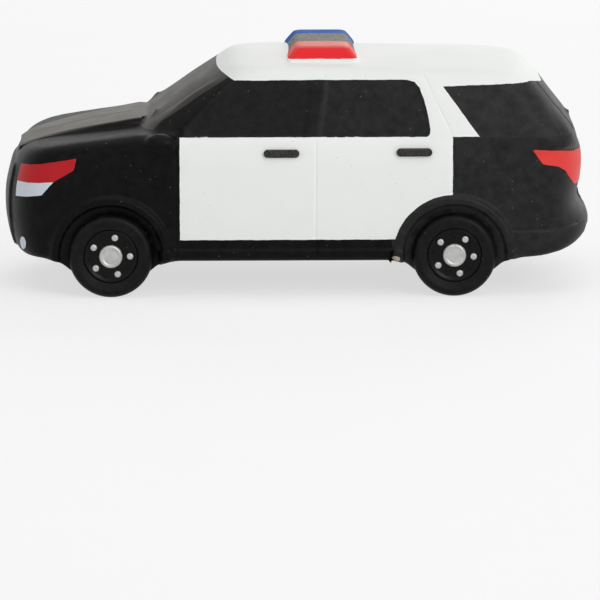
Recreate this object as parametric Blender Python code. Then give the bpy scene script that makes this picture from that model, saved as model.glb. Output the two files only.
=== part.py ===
"""Squeeze toy of a police sport utility vehicle, moulded in polyurethane foam and painted.

The real toy is one moulding. Each painted region and each raised feature of it is a piece of
its own here, let into a foam core with a fine seam all round, so nothing turns or opens.

Frame: X points forward, Y to the vehicle's left, Z up, and the origin lies on the floor under
the middle of the toy. All sizes below are in millimetres.
"""

import math

import bmesh
import bpy
import numpy as np
from mathutils import Vector

MM = 0.001

# Seams and seats
SEAM = 0.16                 # moulded line between two neighbouring pieces
PANEL_DEPTH = 2.4           # how deep a door or a pane is let into the core
REACH_OUT = 12.0            # how far a cutter stands out past the skin
SIDES = {"left": 1.0, "right": -1.0}

# Lower body
UNDERSIDE = 7.0
NOSE_START = 42.0           # where the front end begins to round in plan
TAIL_START = -42.0
END_ROUNDNESS = 2.7         # exponent of the superellipse that rounds the ends in plan
END_STEPS = 7
DECK_FRONT_SHARE = 0.45     # how far the middle of a deck reaches into a rounded end
DECK_CROWN = 0.25

# columns: x, half width of the body
BODY_WIDTH = ((-42.0, 21.2), (-30.0, 21.8), (-10.0, 22.0), (15.0, 22.0), (30.0, 21.7), (42.0, 21.0))
# columns: x, height of the shoulder line
SHOULDER = ((-54.5, 26.4), (-52.0, 27.8), (-48.0, 28.9), (-44.0, 29.5), (-36.0, 29.9), (25.0, 29.9),
            (28.0, 30.1), (34.0, 29.5), (40.0, 28.8), (44.0, 28.3), (48.0, 27.6), (50.0, 26.9),
            (52.0, 25.6), (54.0, 23.6))
# columns: x, height of the underside
BELLY = ((-55.0, 12.4), (-52.5, 10.8), (-50.0, 9.3), (-47.0, 8.2), (-44.0, 7.5), (-38.5, UNDERSIDE),
         (44.0, UNDERSIDE), (49.0, 7.5), (52.0, 8.6), (54.5, 10.2))
# columns: inset from the half width (or None for the centre line), share of the body's height
BODY_SECTION = ((None, 0.0), (2.6, 0.0), (1.1, 0.025), (0.45, 0.08), (0.12, 0.22), (0.0, 0.45),
                (0.05, 0.68), (0.35, 0.86), (0.85, 0.95), (1.7, 0.99), (3.2, 1.0), (None, 1.0))
# columns: share of the body's height, how far forward the nose reaches
NOSE_REACH = ((0.0, 50.6), (0.06, 52.4), (0.13, 53.3), (0.25, 53.9), (0.4, 54.1), (0.6, 53.9),
              (0.8, 53.3), (0.93, 52.3), (1.0, 50.8))
# columns: share of the body's height, how far back the tail reaches
TAIL_REACH = ((0.0, 52.2), (0.06, 53.8), (0.14, 54.9), (0.24, 55.0), (0.34, 54.6), (0.42, 53.4),
              (0.5, 53.1), (0.8, 53.3), (0.92, 52.9), (1.0, 51.4))
BODY_STATIONS = (-34.0, -24.0, -12.0, 0.0, 12.0, 22.0, 28.0, 34.0)

# Greenhouse: plan outlines at rising heights
# columns: height, half width, front reach, rear reach
GREENHOUSE = ((27.2, 21.2, 37.0, 52.4), (29.9, 20.9, 32.9, 51.7), (32.4, 20.0, 29.4, 50.2),
              (34.8, 19.1, 25.9, 48.5), (37.4, 18.1, 22.0, 46.4), (39.6, 17.2, 18.5, 44.6),
              (40.9, 16.4, 16.8, 43.4))
GREENHOUSE_NOSE = 12.5      # length of the rounded front of each plan outline
GREENHOUSE_TAIL = 9.0
FRONT_ROUNDNESS = 2.5
REAR_ROUNDNESS = 2.9
RING_POINTS = 44
ROOF_RIM = (15.6, 15.6, 42.6)       # half width, front reach, rear reach where the roof begins
ROOF_CROWN = 43.6
ROOF_DROP_SIDE = 1.7
ROOF_SHARES = (1.0, 0.9, 0.72, 0.48, 0.22)
# columns: x, drop of the roof's middle line below its crown
ROOF_FALL = ((-45.0, 2.6), (-42.6, 1.7), (-39.5, 0.9), (-34.0, 0.5), (-20.0, 0.15), (-6.0, 0.0),
             (6.0, 0.05), (10.0, 0.35), (13.0, 0.95), (15.6, 1.9), (17.5, 2.9))

# Hood: a raised field on the front deck
# columns: x, half width, height above the deck
HOOD = ((28.3, 11.6, 1.6), (34.0, 11.2, 1.5), (40.0, 10.5, 1.35), (45.0, 9.6, 1.1),
        (48.5, 8.7, 0.75), (50.4, 7.6, 0.35))
HOOD_SEAT = 1.6             # how deep the hood is let into the deck
HOOD_FLANK = 0.9            # width of the sloping step beside it
HOOD_CROWN = 0.35

# Wheels and arches
FRONT_AXLE = 34.2
REAR_AXLE = -28.8
TYRE_RADIUS = 7.75
WHEEL_SEGMENTS = 36
AXLE_HEIGHT = TYRE_RADIUS * math.cos(math.pi / WHEEL_SEGMENTS)
WHEEL_FACE = 22.2           # outer face of a tyre, from the middle of the toy
TYRE_WIDTH = 8.0
TYRE_SHOULDER = 1.9
RIM_RADIUS = 4.87
RIM_RECESS = 0.9
CAP_RADIUS = 2.14
CAP_PROUD = 0.75
NUT_COUNT = 5
NUT_RADIUS = 0.62
NUT_CIRCLE = 3.5
NUT_PROUD = 0.45
NUT_SIDES = 8
ARCH_INNER = 9.5
FLARE_WIDTH = 1.9
ARCH_OUTER = ARCH_INNER + FLARE_WIDTH
ARCH_FLOOR = 19.6           # the recess round a tyre ends at this distance from the middle
FLARE_PROUD = 0.75
FLARE_STEPS = 26
WHEELS = {"front": FRONT_AXLE, "rear": REAR_AXLE}

# Side outlines, as (x, z) seen from the vehicle's left
BELT = 29.7
DOOR_SILL = 10.8
DOOR_FRONT = 21.5
DOOR_SPLIT = -3.3
DOOR_REAR = -28.5
PANE_TOP = 39.7
PANE_BASE = BELT
ROOF_LINE = 39.8
FRONT_DOOR = ((DOOR_SPLIT, DOOR_SILL), (DOOR_FRONT, DOOR_SILL), (DOOR_FRONT, BELT), (DOOR_SPLIT, BELT))
DOOR_ARC_STEPS = 9
FRONT_PANE = ((-2.0, PANE_BASE), (20.0, PANE_BASE), (20.0, 32.3), (12.6, 39.3), (11.6, PANE_TOP),
              (-2.4, PANE_TOP))
REAR_PANE = ((-23.7, PANE_BASE), (-5.4, PANE_BASE), (-6.6, PANE_TOP), (-19.8, PANE_TOP),
             (-22.7, 38.2), (-24.2, 31.6))
REAR_PILLAR = ((-33.3, BELT), (-23.7, BELT), (-24.2, 31.6), (-22.7, 38.2), (-19.8, PANE_TOP),
               (-26.4, PANE_TOP))
QUARTER_PANE = ((-33.3, PANE_BASE), (-49.6, PANE_BASE), (-47.4, 34.8), (-44.4, PANE_TOP),
                (-26.4, PANE_TOP))
ROOF_FRONT_EDGE = 16.4
ROOF_REAR_REACH = ROOF_RIM[2] + REACH_OUT
ROOF_ABOVE = ROOF_CROWN + REACH_OUT
ROOF_PROFILE = ((-ROOF_REAR_REACH, ROOF_LINE), (12.4, ROOF_LINE), (14.1, 40.6), (ROOF_FRONT_EDGE, 40.6),
                (ROOF_FRONT_EDGE, ROOF_ABOVE), (-ROOF_REAR_REACH, ROOF_ABOVE))
HEADLAMP_RED = ((40.6, 25.8), (41.1, 23.8), (44.9, 21.4), (56.0, 21.8), (56.0, 24.7))
HEADLAMP_PALE = ((44.9, 21.4), (47.1, 18.95), (56.0, 18.4), (56.0, 21.8))
TAIL_LAMP = ((-43.2, 27.6), (-58.0, 27.0), (-58.0, 19.2), (-51.4, 19.6), (-49.4, 23.2),
             (-48.1, 24.0), (-45.1, 24.7))
LAMP_DEPTH = 9.4            # lamps wrap round the corners this far in from the body's side
QUARTER_DEPTH = 5.0         # the quarter pane follows the rounded rear corner
SILL_OUTLINE = ((-17.3, UNDERSIDE - 1.0), (22.7, UNDERSIDE - 1.0), (22.7, DOOR_SILL),
                (-17.3, DOOR_SILL))
HANDLES = {"front": (3.0, 26.4), "rear": (-21.3, 26.65)}
HANDLE_LENGTH = 6.4
HANDLE_HEIGHT = 1.45
HANDLE_PROUD = 0.35
HANDLE_SEAT = 0.7

# Panes seen from the front or the rear, as (y, z)
WINDSHIELD = ((-17.2, 30.9), (17.2, 30.9), (14.2, 42.0), (-14.2, 42.0))
REAR_PANE_END = ((-14.4, 28.9), (14.4, 28.9), (11.9, 39.0), (-11.9, 39.0))
TAILGATE = ((-12.3, 17.0), (12.3, 17.0), (12.3, 27.6), (-12.3, 27.6))
GRILLE = ((-10.6, 9.2), (10.6, 9.2), (12.0, 15.0), (11.2, 22.2), (-11.2, 22.2), (-12.0, 15.0))
GRILLE_PROUD = 0.9
NOSE_TIP = max(row[1] for row in NOSE_REACH)
TAIL_TIP = max(row[1] for row in TAIL_REACH)
GRILLE_BACK = NOSE_TIP - 5.1
TAILGATE_BACK = TAIL_TIP - 4.8
PANE_BOW_FRONT = 9.0        # depth from a pane's foremost point to its flat back
PANE_BOW_REAR = 5.2
BUMPER_LINE = 12.3          # top of both bumpers
FRONT_BUMPER_START = 47.2
REAR_BUMPER_START = -40.5
FRONT_BUMPER = ((FRONT_BUMPER_START, 0.0), (NOSE_TIP + REACH_OUT, 0.0),
                (NOSE_TIP + REACH_OUT, BUMPER_LINE), (FRONT_BUMPER_START, BUMPER_LINE))
REAR_BUMPER = ((-TAIL_TIP - REACH_OUT, 0.0), (REAR_BUMPER_START, 0.0),
               (REAR_BUMPER_START, BUMPER_LINE), (-TAIL_TIP - REACH_OUT, BUMPER_LINE))

# Mirrors and fog lamps, as low pods let into the skin
# columns: centre x, y, z, then half sizes along x, y, z
MIRROR = (25.2, 21.7, 28.6, 3.3, 2.3, 2.3)
FOG_LAMP = (50.3, 14.6, 9.2, 1.5, 1.5, 1.4)
POD_SEGMENTS = 14
POD_RINGS = 8

# Light bar
BAR_MIDDLE = -4.45
BAR_SINK = 1.5              # how far its foot lies under the roof's crown
BAR_HEIGHT = 3.45           # from its foot to its top
# columns: share of the bar's height, half length along x, half width along y
BAR_LEVELS = ((0.0, 6.4, 12.9), (0.32, 6.3, 12.8), (0.83, 5.2, 11.7), (0.957, 4.6, 11.1))
BAR_CORNER = 0.9
BAR_TOP_SHARE = 0.5         # size of the flat top against the level below it
BAR_SPLIT = 5.2             # the red and blue ends begin here

# Paints: sRGB red, green, blue, roughness
PAINTS = {
    "black": (0.11, 0.11, 0.11, 0.55),
    "white": (0.90, 0.91, 0.91, 0.60),
    "glass_black": (0.13, 0.13, 0.14, 0.50),
    "grey": (0.50, 0.50, 0.48, 0.70),
    "red": (0.80, 0.14, 0.18, 0.45),
    "blue": (0.0, 0.30, 0.68, 0.45),
    "pale": (0.78, 0.82, 0.85, 0.45),
    "silver": (0.76, 0.76, 0.76, 0.40),
    "tyre": (0.12, 0.12, 0.12, 0.65),
}


def monotone(table, values):
    """Cubic curve without overshoot through (x, y) rows, read at the given values."""
    xs, ys = (np.array(column, dtype=float) for column in zip(*table))
    steps = np.diff(xs)
    slopes = np.diff(ys) / steps
    tangents = np.zeros_like(ys)
    for i in range(1, len(xs) - 1):
        if slopes[i - 1] * slopes[i] > 0.0:
            w0, w1 = 2 * steps[i] + steps[i - 1], steps[i] + 2 * steps[i - 1]
            tangents[i] = (w0 + w1) / (w0 / slopes[i - 1] + w1 / slopes[i])
    tangents[0], tangents[-1] = slopes[0], slopes[-1]
    at = np.clip(np.asarray(values, dtype=float), xs[0], xs[-1])
    i = np.clip(np.searchsorted(xs, at) - 1, 0, len(xs) - 2)
    t = (at - xs[i]) / steps[i]
    return ((1 + 2 * t) * (1 - t) ** 2 * ys[i] + t * (1 - t) ** 2 * steps[i] * tangents[i]
            + t * t * (3 - 2 * t) * ys[i + 1] - t * t * (1 - t) * steps[i] * tangents[i + 1])


def paint(name):
    """Material of one paint, made once."""
    if name in bpy.data.materials:
        return bpy.data.materials[name]
    red, green, blue, roughness = PAINTS[name]
    material = bpy.data.materials.new(name)
    material.use_nodes = True
    shader = material.node_tree.nodes["Principled BSDF"]
    linear = [c / 12.92 if c <= 0.04045 else ((c + 0.055) / 1.055) ** 2.4 for c in (red, green, blue)]
    shader.inputs["Base Color"].default_value = (*linear, 1.0)
    shader.inputs["Roughness"].default_value = roughness
    shader.inputs["Metallic"].default_value = 0.0
    return material


def solid(name, points, faces, paint_name=None):
    """Closed mesh object from millimetre points; without a paint it is a hidden cutter."""
    mesh = bpy.data.meshes.new(name)
    form = bmesh.new()
    corners = [form.verts.new(Vector(point) * MM) for point in points]
    for face in faces:
        form.faces.new([corners[i] for i in face])
    bmesh.ops.remove_doubles(form, verts=form.verts, dist=0.0005 * MM)
    bmesh.ops.dissolve_degenerate(form, edges=form.edges, dist=0.0005 * MM)
    bmesh.ops.delete(form, geom=[edge for edge in form.edges if not edge.link_faces], context="EDGES")
    bmesh.ops.recalc_face_normals(form, faces=form.faces)
    form.to_mesh(mesh)
    form.free()
    made = bpy.data.objects.new(name, mesh)
    bpy.context.collection.objects.link(made)
    if paint_name is None:
        made.hide_render = True
        made.display_type = "WIRE"
    else:
        mesh.materials.append(paint(paint_name))
    return made


def skin_rings(rings, close_first=False, close_last=False):
    """Points and faces of a skin over equal rings, its ends closed by one face where asked."""
    count = len(rings[0])
    points = [point for ring in rings for point in ring]
    faces = []
    for row in range(len(rings) - 1):
        for i in range(count):
            j = (i + 1) % count
            faces.append((row * count + i, row * count + j,
                          (row + 1) * count + j, (row + 1) * count + i))
    if close_first:
        faces.append(tuple(reversed(range(count))))
    if close_last:
        faces.append(tuple(range((len(rings) - 1) * count, len(rings) * count)))
    return points, faces


def combine(target, operation, tool):
    """Boolean modifier on the target, by the exact solver."""
    step = target.modifiers.new(f"{operation.lower()} {tool.name}", "BOOLEAN")
    step.operation = operation
    step.solver = "EXACT"
    step.object = tool


def hollow(target, tool):
    """Add a tool to the one cut that makes all pockets of a target."""
    group_name = f"pockets of {target.name}"
    group = bpy.data.collections.get(group_name)
    if group is None:
        group = bpy.data.collections.new(group_name)
        step = target.modifiers.new(group_name, "BOOLEAN")
        step.operation = "DIFFERENCE"
        step.solver = "EXACT"
        step.operand_type = "COLLECTION"
        step.collection = group
    group.objects.link(tool)


def settle(made):
    """Replace an object's mesh by what its modifiers give, so that later pieces build on it."""
    graph = bpy.context.evaluated_depsgraph_get()
    mesh = bpy.data.meshes.new_from_object(made.evaluated_get(graph))
    made.modifiers.clear()
    made.data = mesh


def copy_of(source, name, paint_name=None):
    """Separate copy of an object with its own mesh, as a cutter or as a painted piece."""
    made = source.copy()
    made.data = source.data.copy()
    made.name = name
    made.data.materials.clear()
    bpy.context.collection.objects.link(made)
    if paint_name is not None:
        made.hide_render = False
        made.display_type = "TEXTURED"
        made.data.materials.append(paint(paint_name))
    return made


def grown(outline, distance):
    """Outline moved outwards by a distance, its corners kept sharp."""
    points = [Vector(point) for point in outline]
    area = sum(a.x * b.y - b.x * a.y for a, b in zip(points, points[1:] + points[:1]))
    turn = 1.0 if area > 0 else -1.0
    moved = []
    for i, here in enumerate(points):
        before = (here - points[i - 1]).normalized()
        after = (points[(i + 1) % len(points)] - here).normalized()
        out_before = Vector((before.y, -before.x)) * turn
        out_after = Vector((after.y, -after.x)) * turn
        corner = out_before + out_after
        moved.append(here + corner * (distance / max(0.3, corner.dot(out_before))))
    return [(point.x, point.y) for point in moved]


def prism(name, outline, near, far, place, paint_name=None):
    """Straight prism over an outline; place(u, v, depth) puts its points in the toy's frame."""
    count = len(outline)
    points = [place(u, v, near(u, v)) for u, v in outline] + [place(u, v, far(u, v)) for u, v in outline]
    faces = [(i, (i + 1) % count, count + (i + 1) % count, count + i) for i in range(count)]
    faces += [tuple(range(count)), tuple(range(count, 2 * count))]
    return solid(name, points, faces, paint_name)


def body_section(x_parent):
    """Half section of the lower body at a station, as rows of (half width, height share)."""
    width = float(monotone(BODY_WIDTH, x_parent))
    return [(0.0 if inset is None else width - inset, share) for inset, share in BODY_SECTION], width


def body_ring(x_parent, end_angle=0.0, end=0, proud=0.0):
    """One ring of the lower body; end is 1 in the rounded nose and -1 in the rounded tail."""
    half, width = body_section(x_parent)
    turn = 2.0 / END_ROUNDNESS
    along, across = math.sin(end_angle) ** turn, max(0.0, math.cos(end_angle)) ** turn
    if end_angle >= math.pi / 2 - 1e-6:
        along, across = 1.0, 0.0
    ring = []
    for y, share in half:
        x = x_parent
        if end:
            table = NOSE_REACH if end > 0 else TAIL_REACH
            reach = float(monotone(table, share)) + proud - abs(x_parent)
            flat = share in (0.0, 1.0)
            spread = DECK_FRONT_SHARE + (1.0 - DECK_FRONT_SHARE) * y / width if flat else 1.0
            x = x_parent + end * reach * spread * along
        low, high = float(monotone(BELLY, x)), float(monotone(SHOULDER, x))
        z = low + share * (high - low)
        if share == 1.0:
            z += DECK_CROWN * (1.0 - (y / width) ** 2)
        ring.append((x, y * across, z))
    mirrored = [(x, -y, z) for x, y, z in reversed(ring[1:-1])]
    return ring + mirrored


def lower_body(name, proud=0.0):
    """Lower body with rounded ends, closed, without its arches; proud lengthens both ends."""
    angles = [math.pi / 2 * step / END_STEPS for step in range(1, END_STEPS + 1)]
    rings = [body_ring(TAIL_START, angle, -1, proud) for angle in reversed(angles)]
    rings += [body_ring(x) for x in (TAIL_START, *BODY_STATIONS, NOSE_START)]
    rings += [body_ring(NOSE_START, angle, 1, proud) for angle in angles]
    return solid(name, *skin_rings(rings))


def plan_outline(half_width, front, rear):
    """Rounded outline seen from above, of RING_POINTS points, as (x, y)."""
    points = []
    for i in range(RING_POINTS):
        angle = 2.0 * math.pi * (i + 0.5) / RING_POINTS
        c, s = math.cos(angle), math.sin(angle)
        roundness = FRONT_ROUNDNESS if c > 0 else REAR_ROUNDNESS
        length = GREENHOUSE_NOSE if c > 0 else GREENHOUSE_TAIL
        start = front - GREENHOUSE_NOSE if c > 0 else -rear + GREENHOUSE_TAIL
        turn = 2.0 / roundness
        x = start + math.copysign(length * abs(c) ** turn, c)
        points.append((x, math.copysign(half_width * abs(s) ** turn, s)))
    return points


def roof_height(x, y):
    """Height of the roof's outer surface."""
    return ROOF_CROWN - float(monotone(ROOF_FALL, x)) - ROOF_DROP_SIDE * (y / ROOF_RIM[0]) ** 2


def greenhouse(name):
    """Upper body with its roof, closed below inside the lower body."""
    rings = [[(x, y, height) for x, y in plan_outline(width, front, rear)]
             for height, width, front, rear in GREENHOUSE]
    rim = plan_outline(*ROOF_RIM)
    middle = sum(x for x, _ in rim) / len(rim)
    for share in ROOF_SHARES:
        spread = [(middle + (x - middle) * share, y * share) for x, y in rim]
        rings.append([(x, y, roof_height(x, y)) for x, y in spread])
    return solid(name, *skin_rings(rings, close_first=True, close_last=True))


def hood_solid(name, allowance=0.0, paint_name=None):
    """Raised field of the hood, let into the deck; the allowance makes its pocket wider."""
    rings = []
    ends = {HOOD[0][0]: -allowance, HOOD[-1][0]: allowance}
    for x, width, rise in HOOD:
        deck = float(monotone(SHOULDER, x))
        foot, top = width + HOOD_FLANK + allowance, deck + rise + allowance
        half = [(0.0, deck - HOOD_SEAT - allowance), (foot, deck - HOOD_SEAT - allowance),
                (foot, deck + 0.05), (width + 0.25 + allowance, top - 0.3), (width - 0.6, top),
                (0.0, top + HOOD_CROWN)]
        at = x + ends.get(x, 0.0)
        ring = [(at, y, z) for y, z in half]
        rings.append(ring + [(at, -y, z) for _, y, z in reversed(ring[1:-1])])
    return solid(name, *skin_rings(rings, close_first=True, close_last=True), paint_name)


def turned(name, profile, centre, side, segments, paint_name=None):
    """Closed solid turned about a wheel's axis from a closed profile of (radius, distance out)."""
    hub_x, hub_z = centre
    rings = []
    for step in range(segments + 1):
        angle = 2.0 * math.pi * (step + 0.5) / segments
        rings.append([(hub_x + radius * math.sin(angle), side * out, hub_z - radius * math.cos(angle))
                      for radius, out in profile])
    return solid(name, *skin_rings(rings), paint_name)


def tyre_profile(allowance=0.0):
    """Closed profile of a tyre as (radius, distance out)."""
    bore = RIM_RADIUS + SEAM / 2
    shoulder, inner = TYRE_SHOULDER, WHEEL_FACE - TYRE_WIDTH
    bend = shoulder * (1.0 - math.sqrt(0.5))
    return [(bore, inner - allowance), (TYRE_RADIUS - 0.6 + allowance, inner - allowance),
            (TYRE_RADIUS + allowance, inner + 0.6), (TYRE_RADIUS + allowance, WHEEL_FACE - shoulder),
            (TYRE_RADIUS - bend, WHEEL_FACE - bend), (TYRE_RADIUS - shoulder, WHEEL_FACE),
            (bore + 0.5, WHEEL_FACE - 0.15), (bore, WHEEL_FACE - 0.6)]


def rim_profile():
    """Closed profile of a rim with its cap, from the axis out and back."""
    face, inner = WHEEL_FACE - RIM_RECESS, WHEEL_FACE - TYRE_WIDTH
    edge = RIM_RADIUS - SEAM / 2
    return [(0.0, inner), (edge, inner), (edge, face + 0.15), (edge - 0.35, face + 0.2),
            (edge - 0.7, face), (CAP_RADIUS, face), (CAP_RADIUS - 0.1, face + CAP_PROUD - 0.25),
            (CAP_RADIUS - 0.5, face + CAP_PROUD), (0.0, face + CAP_PROUD + 0.1)]


def wheel_pieces(corner, side_name, core):
    """Tyre and rim of one corner, and their seat in the core."""
    side = SIDES[side_name]
    hub = (WHEELS[corner], AXLE_HEIGHT)
    where = f"{corner}_{side_name}"
    arch = turned(f"arch_cut_{where}", [(0.0, ARCH_FLOOR), (ARCH_INNER, ARCH_FLOOR),
                                        (ARCH_INNER, ARCH_FLOOR + REACH_OUT), (0.0, ARCH_FLOOR + REACH_OUT)],
                  hub, side, WHEEL_SEGMENTS)
    inner = WHEEL_FACE - TYRE_WIDTH - SEAM
    well = turned(f"well_cut_{where}", [(0.0, inner), (TYRE_RADIUS + SEAM, inner),
                                        (TYRE_RADIUS + SEAM, ARCH_FLOOR + SEAM), (0.0, ARCH_FLOOR + SEAM)],
                  hub, side, WHEEL_SEGMENTS)
    hollow(core, arch)
    hollow(core, well)
    turned(f"tyre_{where}", tyre_profile(), hub, side, WHEEL_SEGMENTS, "tyre")
    rim = turned(f"rim_{where}", rim_profile(), hub, side, WHEEL_SEGMENTS, "silver")
    for index in range(NUT_COUNT):
        angle = 2.0 * math.pi * (index + 0.25) / NUT_COUNT
        nut_centre = (hub[0] + NUT_CIRCLE * math.sin(angle), hub[1] + NUT_CIRCLE * math.cos(angle))
        face = WHEEL_FACE - RIM_RECESS
        nut = turned(f"nut_{where}_{index}", [(0.0, face - 0.4), (NUT_RADIUS, face - 0.4),
                                              (NUT_RADIUS, face + NUT_PROUD - 0.15),
                                              (NUT_RADIUS - 0.2, face + NUT_PROUD), (0.0, face + NUT_PROUD)],
                     nut_centre, side, NUT_SIDES)
        combine(rim, "UNION", nut)


def flare(name, axle, side):
    """Raised band round an arch, swept over the wheel and sunk into the body side."""
    outer_face = float(monotone(BODY_WIDTH, axle)) + FLARE_PROUD
    root = ARCH_FLOOR - 1.0
    middle = (ARCH_INNER + ARCH_OUTER) / 2
    section = [(ARCH_INNER - 0.6, root), (ARCH_OUTER, root), (ARCH_OUTER, outer_face - FLARE_PROUD),
               (ARCH_OUTER - 0.45, outer_face - 0.2), (middle + 0.2, outer_face),
               (ARCH_INNER + 0.3, outer_face - 0.1), (ARCH_INNER - 0.6, outer_face - 0.5)]
    dip = math.asin((AXLE_HEIGHT - UNDERSIDE) / ARCH_OUTER)
    rings = []
    for step in range(FLARE_STEPS + 1):
        angle = -dip + (math.pi + 2.0 * dip) * step / FLARE_STEPS
        rings.append([(axle + r * math.cos(angle), side * out, AXLE_HEIGHT + r * math.sin(angle))
                      for r, out in section])
    return solid(name, *skin_rings(rings, close_first=True, close_last=True))


def body_skin():
    """Whole outer form: lower body, greenhouse and arch flares in one closed skin."""
    skin = lower_body("skin")
    combine(skin, "UNION", greenhouse("greenhouse_form"))
    for corner, axle in WHEELS.items():
        for side_name, side in SIDES.items():
            combine(skin, "UNION", flare(f"flare_form_{corner}_{side_name}", axle, side))
    settle(skin)
    return skin


def rear_door_outline():
    """Outline of the rear door's white field, cut out round the rear arch."""
    first = math.asin((DOOR_SILL - AXLE_HEIGHT) / ARCH_OUTER)
    last = math.acos((DOOR_REAR - REAR_AXLE) / ARCH_OUTER)
    arc = [first + (last - first) * step / DOOR_ARC_STEPS for step in range(DOOR_ARC_STEPS + 1)]
    curve = [(REAR_AXLE + ARCH_OUTER * math.cos(a), AXLE_HEIGHT + ARCH_OUTER * math.sin(a)) for a in arc]
    return [(DOOR_REAR, BELT), (DOOR_SPLIT, BELT), (DOOR_SPLIT, DOOR_SILL), *curve]


def body_wall(height):
    """Distance of the lower body's side from the middle, the same at every height."""
    return float(monotone(BODY_WIDTH, 0.0))


def glass_wall(height):
    """Distance of the leaning side glass from the middle, at a height."""
    low, high = GREENHOUSE[1], GREENHOUSE[5]
    return low[1] + (high[1] - low[1]) * (height - low[0]) / (high[0] - low[0])


def end_lean(column, height):
    """Reach of the greenhouse's front (column 2) or rear (column 3) along one straight lean."""
    low, high = GREENHOUSE[1], GREENHOUSE[5]
    return low[column] + (high[column] - low[column]) * (height - low[0]) / (high[0] - low[0])


def inlay(name, paint_name, skin, core, outline, near, far, place, *neighbours):
    """Piece of the skin inside an outline, let into a pocket of the core and of its neighbours."""
    half = SEAM / 2
    piece = copy_of(skin, name, paint_name)
    combine(piece, "INTERSECT", prism(f"{name}_cut", grown(outline, -half),
                                      lambda u, v: near(u, v) + half, far, place))
    pocket = prism(f"{name}_pocket", grown(outline, half), lambda u, v: near(u, v) - half, far, place)
    for carrier in (core, *neighbours):
        hollow(carrier, pocket)
    return piece


def side_inlay(name, paint_name, skin, core, outline, side, wall=body_wall, depth=PANEL_DEPTH):
    """Inlay cut along Y from one side, its back parallel to the wall that it is let into."""
    return inlay(name, paint_name, skin, core, outline, lambda x, z: wall(z) - depth,
                 lambda x, z: wall(z) + REACH_OUT, lambda x, z, out: (x, side * out, z))


def end_inlay(name, paint_name, skin, core, outline, end, near, *neighbours):
    """Inlay cut along X from the front or the rear, its back at near(height)."""
    return inlay(name, paint_name, skin, core, outline, lambda y, z: near(z),
                 lambda y, z: near(z) + 2 * REACH_OUT, lambda y, z, out: (end * out, y, z), *neighbours)


def pod(name, row, side, allowance=0.0, paint_name=None):
    """Ellipsoid plug from a row of centre and half sizes."""
    x, y, z, rx, ry, rz = row
    rings = []
    for step in range(POD_RINGS + 1):
        polar = math.pi * step / POD_RINGS
        rings.append([(x + (rx + allowance) * math.sin(polar) * math.cos(around),
                       side * (y + (ry + allowance) * math.cos(polar)),
                       z + (rz + allowance) * math.sin(polar) * math.sin(around))
                      for around in (2.0 * math.pi * i / POD_SEGMENTS for i in range(POD_SEGMENTS))])
    return solid(name, *skin_rings(rings), paint_name)


def stadium(centre, length, height):
    """Outline of a bar with round ends, as (x, z)."""
    cx, cz = centre
    radius, half = height / 2, length / 2 - height / 2
    points = []
    for end in (0, 1):
        for step in range(5):
            angle = math.pi * (step / 4 - 0.5 + end)
            points.append((cx + (half if end == 0 else -half) + radius * math.cos(angle),
                           cz + radius * math.sin(angle)))
    return points


def light_bar_form(name, allowance=0.0):
    """Whole light bar as a tapered loaf with rounded corners."""
    foot = ROOF_CROWN - BAR_SINK - allowance
    height = BAR_HEIGHT + 2.0 * allowance
    rings = []
    for share, half_x, half_y in BAR_LEVELS:
        half_x, half_y = half_x + allowance, half_y + allowance
        cut = BAR_CORNER
        corner = [(half_x, half_y - cut), (half_x - 0.3 * cut, half_y - 0.3 * cut), (half_x - cut, half_y)]
        quarter = corner + [(-x, y) for x, y in reversed(corner)]
        outline = quarter + [(-x, -y) for x, y in quarter]
        rings.append([(BAR_MIDDLE + x, y, foot + height * share) for x, y in outline])
    top = [(BAR_MIDDLE + (x - BAR_MIDDLE) * BAR_TOP_SHARE, y * BAR_TOP_SHARE, foot + height)
           for x, y, _ in rings[-1]]
    return solid(name, *skin_rings(rings + [top], close_first=True, close_last=True))


def box(name, low, high):
    """Axis-aligned cutter between two corners."""
    (x0, y0, z0), (x1, y1, z1) = low, high
    outline = [(x0, y0), (x1, y0), (x1, y1), (x0, y1)]
    return prism(name, outline, lambda u, v: z0, lambda u, v: z1, lambda u, v, z: (u, v, z))


def build_light_bar(roof):
    """Light bar in three fields, seated in the roof."""
    form = light_bar_form("light_bar_form")
    hollow(roof, light_bar_form("light_bar_pocket", SEAM))
    reach = 2.0 * REACH_OUT
    fields = {"light_bar_red": ("red", BAR_SPLIT + SEAM / 2, reach),
              "light_bar_centre": ("grey", -BAR_SPLIT + SEAM / 2, BAR_SPLIT - SEAM / 2),
              "light_bar_blue": ("blue", -reach, -BAR_SPLIT - SEAM / 2)}
    for name, (paint_name, start, end) in fields.items():
        piece = copy_of(form, name, paint_name)
        combine(piece, "INTERSECT", box(f"{name}_cut", (BAR_MIDDLE - reach, start, ROOF_CROWN - reach),
                                        (BAR_MIDDLE + reach, end, ROOF_CROWN + reach)))


def build_handle(name, centre, side, door):
    """Door handle as a bar with round ends, let into its door."""
    outline = stadium(centre, HANDLE_LENGTH, HANDLE_HEIGHT)
    face = body_wall(0.0)

    def place(x, z, out):
        return (x, side * out, z)

    handle = prism(name, outline, lambda x, z: face - HANDLE_SEAT, lambda x, z: face + HANDLE_PROUD,
                   place, "black")
    hollow(door, prism(f"{name}_pocket", grown(outline, SEAM),
                                      lambda x, z: face - HANDLE_SEAT - SEAM,
                                      lambda x, z: face + REACH_OUT, place))
    return handle


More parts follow.
